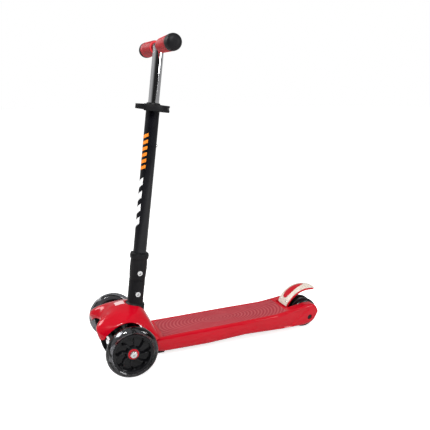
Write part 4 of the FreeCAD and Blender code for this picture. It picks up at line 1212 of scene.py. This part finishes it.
for node_name, body, slot_name, width in (
        ("front_cover", "frame", "black_plastic", 1.0),
        ("front_beam", "frame", "black_plastic", 0.8),
        ("stem_yoke", "frame", "black_plastic", 0.6),
        ("column_foot", "column", "black_plastic", 0.5),
        ("lock_sleeve", "lock_sleeve", "black_plastic", 0.8),
        ("tube_collar", "column", "black_plastic", 0.5),
        ("clamp_collar", "column", "black_plastic", 2.6),
        ("height_button", "height_button", "steel", 0.4)):
    soften(node_name, body, slot_name, width)

clamp_lever = soften("clamp_lever", "clamp_lever", "black_plastic", 3.0)
taper_to_front(clamp_lever, LEVER_MIDDLE, LEVER_START, LEVER_TIP, 0.22)

sleeve_coil = dress(copy_node("sleeve_spring_coil", "sleeve_spring"), "spring_steel", "lock_sleeve",
                    "sleeve_spring")
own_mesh(sleeve_coil)

black_steel = zinc_steel("black_steel", 0.03)
for node_name in ("rear_axle", "rear_axle_nut", "knuckle_left", "knuckle_right"):
    nodes[node_name].data.materials.clear()
    nodes[node_name].data.materials.append(black_steel)


# ---------------------------------------------------------------- studio
FLOOR_GLOW = 0.80
BACKDROP_GLOW = 1.0
ROOM_GLOW = 0.42
VIEW_STAND = (0.4778, 1.2474, 0.6207)
VIEW_YAW = -111.44
VIEW_TILT = -12.17
VIEW_ROLL = -0.35
VIEW_LENS = 45.83


def add_floor():
    """Plain pale floor that also glows a little towards the viewer, so that it stays near white."""
    bpy.ops.mesh.primitive_circle_add(vertices=96, radius=30.0, fill_type="NGON")
    floor = bpy.context.object
    floor.name = "floor"
    material, tree, shader = new_material("floor_white", (0.80, 0.80, 0.80), 0.9)
    paper = noise(tree, 3.0, 2.0)
    tree.links.new(ramp(tree, paper, (0.79, 0.79, 0.79), (0.81, 0.81, 0.81)),
                   shader.inputs["Base Color"])
    glow = tree.nodes.new("ShaderNodeEmission")
    glow.inputs["Color"].default_value = (1.0, 1.0, 1.0, 1.0)
    rays = tree.nodes.new("ShaderNodeLightPath")
    both = tree.nodes.new("ShaderNodeAddShader")
    strength = math_node(tree, "MULTIPLY", rays.outputs["Is Camera Ray"], FLOOR_GLOW)
    tree.links.new(strength, glow.inputs["Strength"])
    tree.links.new(shader.outputs["BSDF"], both.inputs[0])
    tree.links.new(glow.outputs["Emission"], both.inputs[1])
    tree.links.new(both.outputs["Shader"], tree.nodes["Material Output"].inputs["Surface"])
    floor.data.materials.append(material)


def add_light(name, stand, target, size, power):
    """Soft square light that faces a target."""
    data = bpy.data.lights.new(name, "AREA")
    data.shape = "RECTANGLE"
    data.size = size
    data.size_y = size
    data.energy = power
    light = put_in_scene(name, data)
    light.location = stand
    aim = Vector(target) - Vector(stand)
    light.rotation_euler = aim.to_track_quat("-Z", "Y").to_euler()


def add_world():
    """White backdrop; what the object mirrors is bright above and behind and dark in front."""
    world = bpy.data.worlds.new("studio")
    bpy.context.scene.world = world
    world.use_nodes = True
    tree = world.node_tree
    room = tree.nodes["Background"]
    room.inputs["Strength"].default_value = ROOM_GLOW
    source = tree.nodes.new("ShaderNodeTexCoord")
    axes = tree.nodes.new("ShaderNodeSeparateXYZ")
    tree.links.new(source.outputs["Generated"], axes.inputs["Vector"])
    facing = math_node(tree, "MULTIPLY_ADD", axes.outputs["Y"], -0.5, 0.5)
    raised = math_node(tree, "ADD", math_node(tree, "MULTIPLY", axes.outputs["Z"], 0.45), facing)
    tree.links.new(ramp(tree, raised, (0.04, 0.04, 0.04), (1.0, 1.0, 1.0), 0.22, 0.62),
                   room.inputs["Color"])
    backdrop = tree.nodes.new("ShaderNodeBackground")
    backdrop.inputs["Color"].default_value = (1.0, 1.0, 1.0, 1.0)
    backdrop.inputs["Strength"].default_value = BACKDROP_GLOW
    rays = tree.nodes.new("ShaderNodeLightPath")
    choice = tree.nodes.new("ShaderNodeMixShader")
    tree.links.new(rays.outputs["Is Camera Ray"], choice.inputs["Fac"])
    tree.links.new(room.outputs["Background"], choice.inputs[1])
    tree.links.new(backdrop.outputs["Background"], choice.inputs[2])
    tree.links.new(choice.outputs["Shader"], tree.nodes["World Output"].inputs["Surface"])


def set_view():
    """Plain display colours, so that the pale floor and the red read as they are."""
    bpy.context.scene.view_settings.view_transform = "Standard"


def add_camera():
    """Camera at the viewing place, aimed by its compass, tilt and roll angles in degrees."""
    yaw, tilt, roll = (math.radians(angle) for angle in (VIEW_YAW, VIEW_TILT, VIEW_ROLL))
    ahead = Vector((math.cos(tilt) * math.cos(yaw), math.cos(tilt) * math.sin(yaw), math.sin(tilt)))
    level_right = ahead.cross(Vector((0, 0, 1))).normalized()
    level_up = level_right.cross(ahead)
    right = math.cos(roll) * level_right + math.sin(roll) * level_up
    above = math.cos(roll) * level_up - math.sin(roll) * level_right
    data = bpy.data.cameras.new("camera")
    data.sensor_width = 36.0
    data.lens = VIEW_LENS
    camera = put_in_scene("camera", data)
    axes = Matrix((right, above, -ahead)).transposed()
    camera.matrix_world = Matrix.Translation(VIEW_STAND) @ axes.to_4x4()
    bpy.context.scene.camera = camera


set_view()
add_floor()
add_world()
add_camera()
add_light("key", (0.7, 1.5, 1.9), (0.0, 0.0, 0.2), 0.5, 44.0)
add_light("fill", (-1.4, 1.6, 1.0), (0.0, 0.0, 0.2), 0.7, 20.0)
add_light("back", (1.4, -1.2, 1.6), (0.0, 0.0, 0.3), 0.9, 26.0)
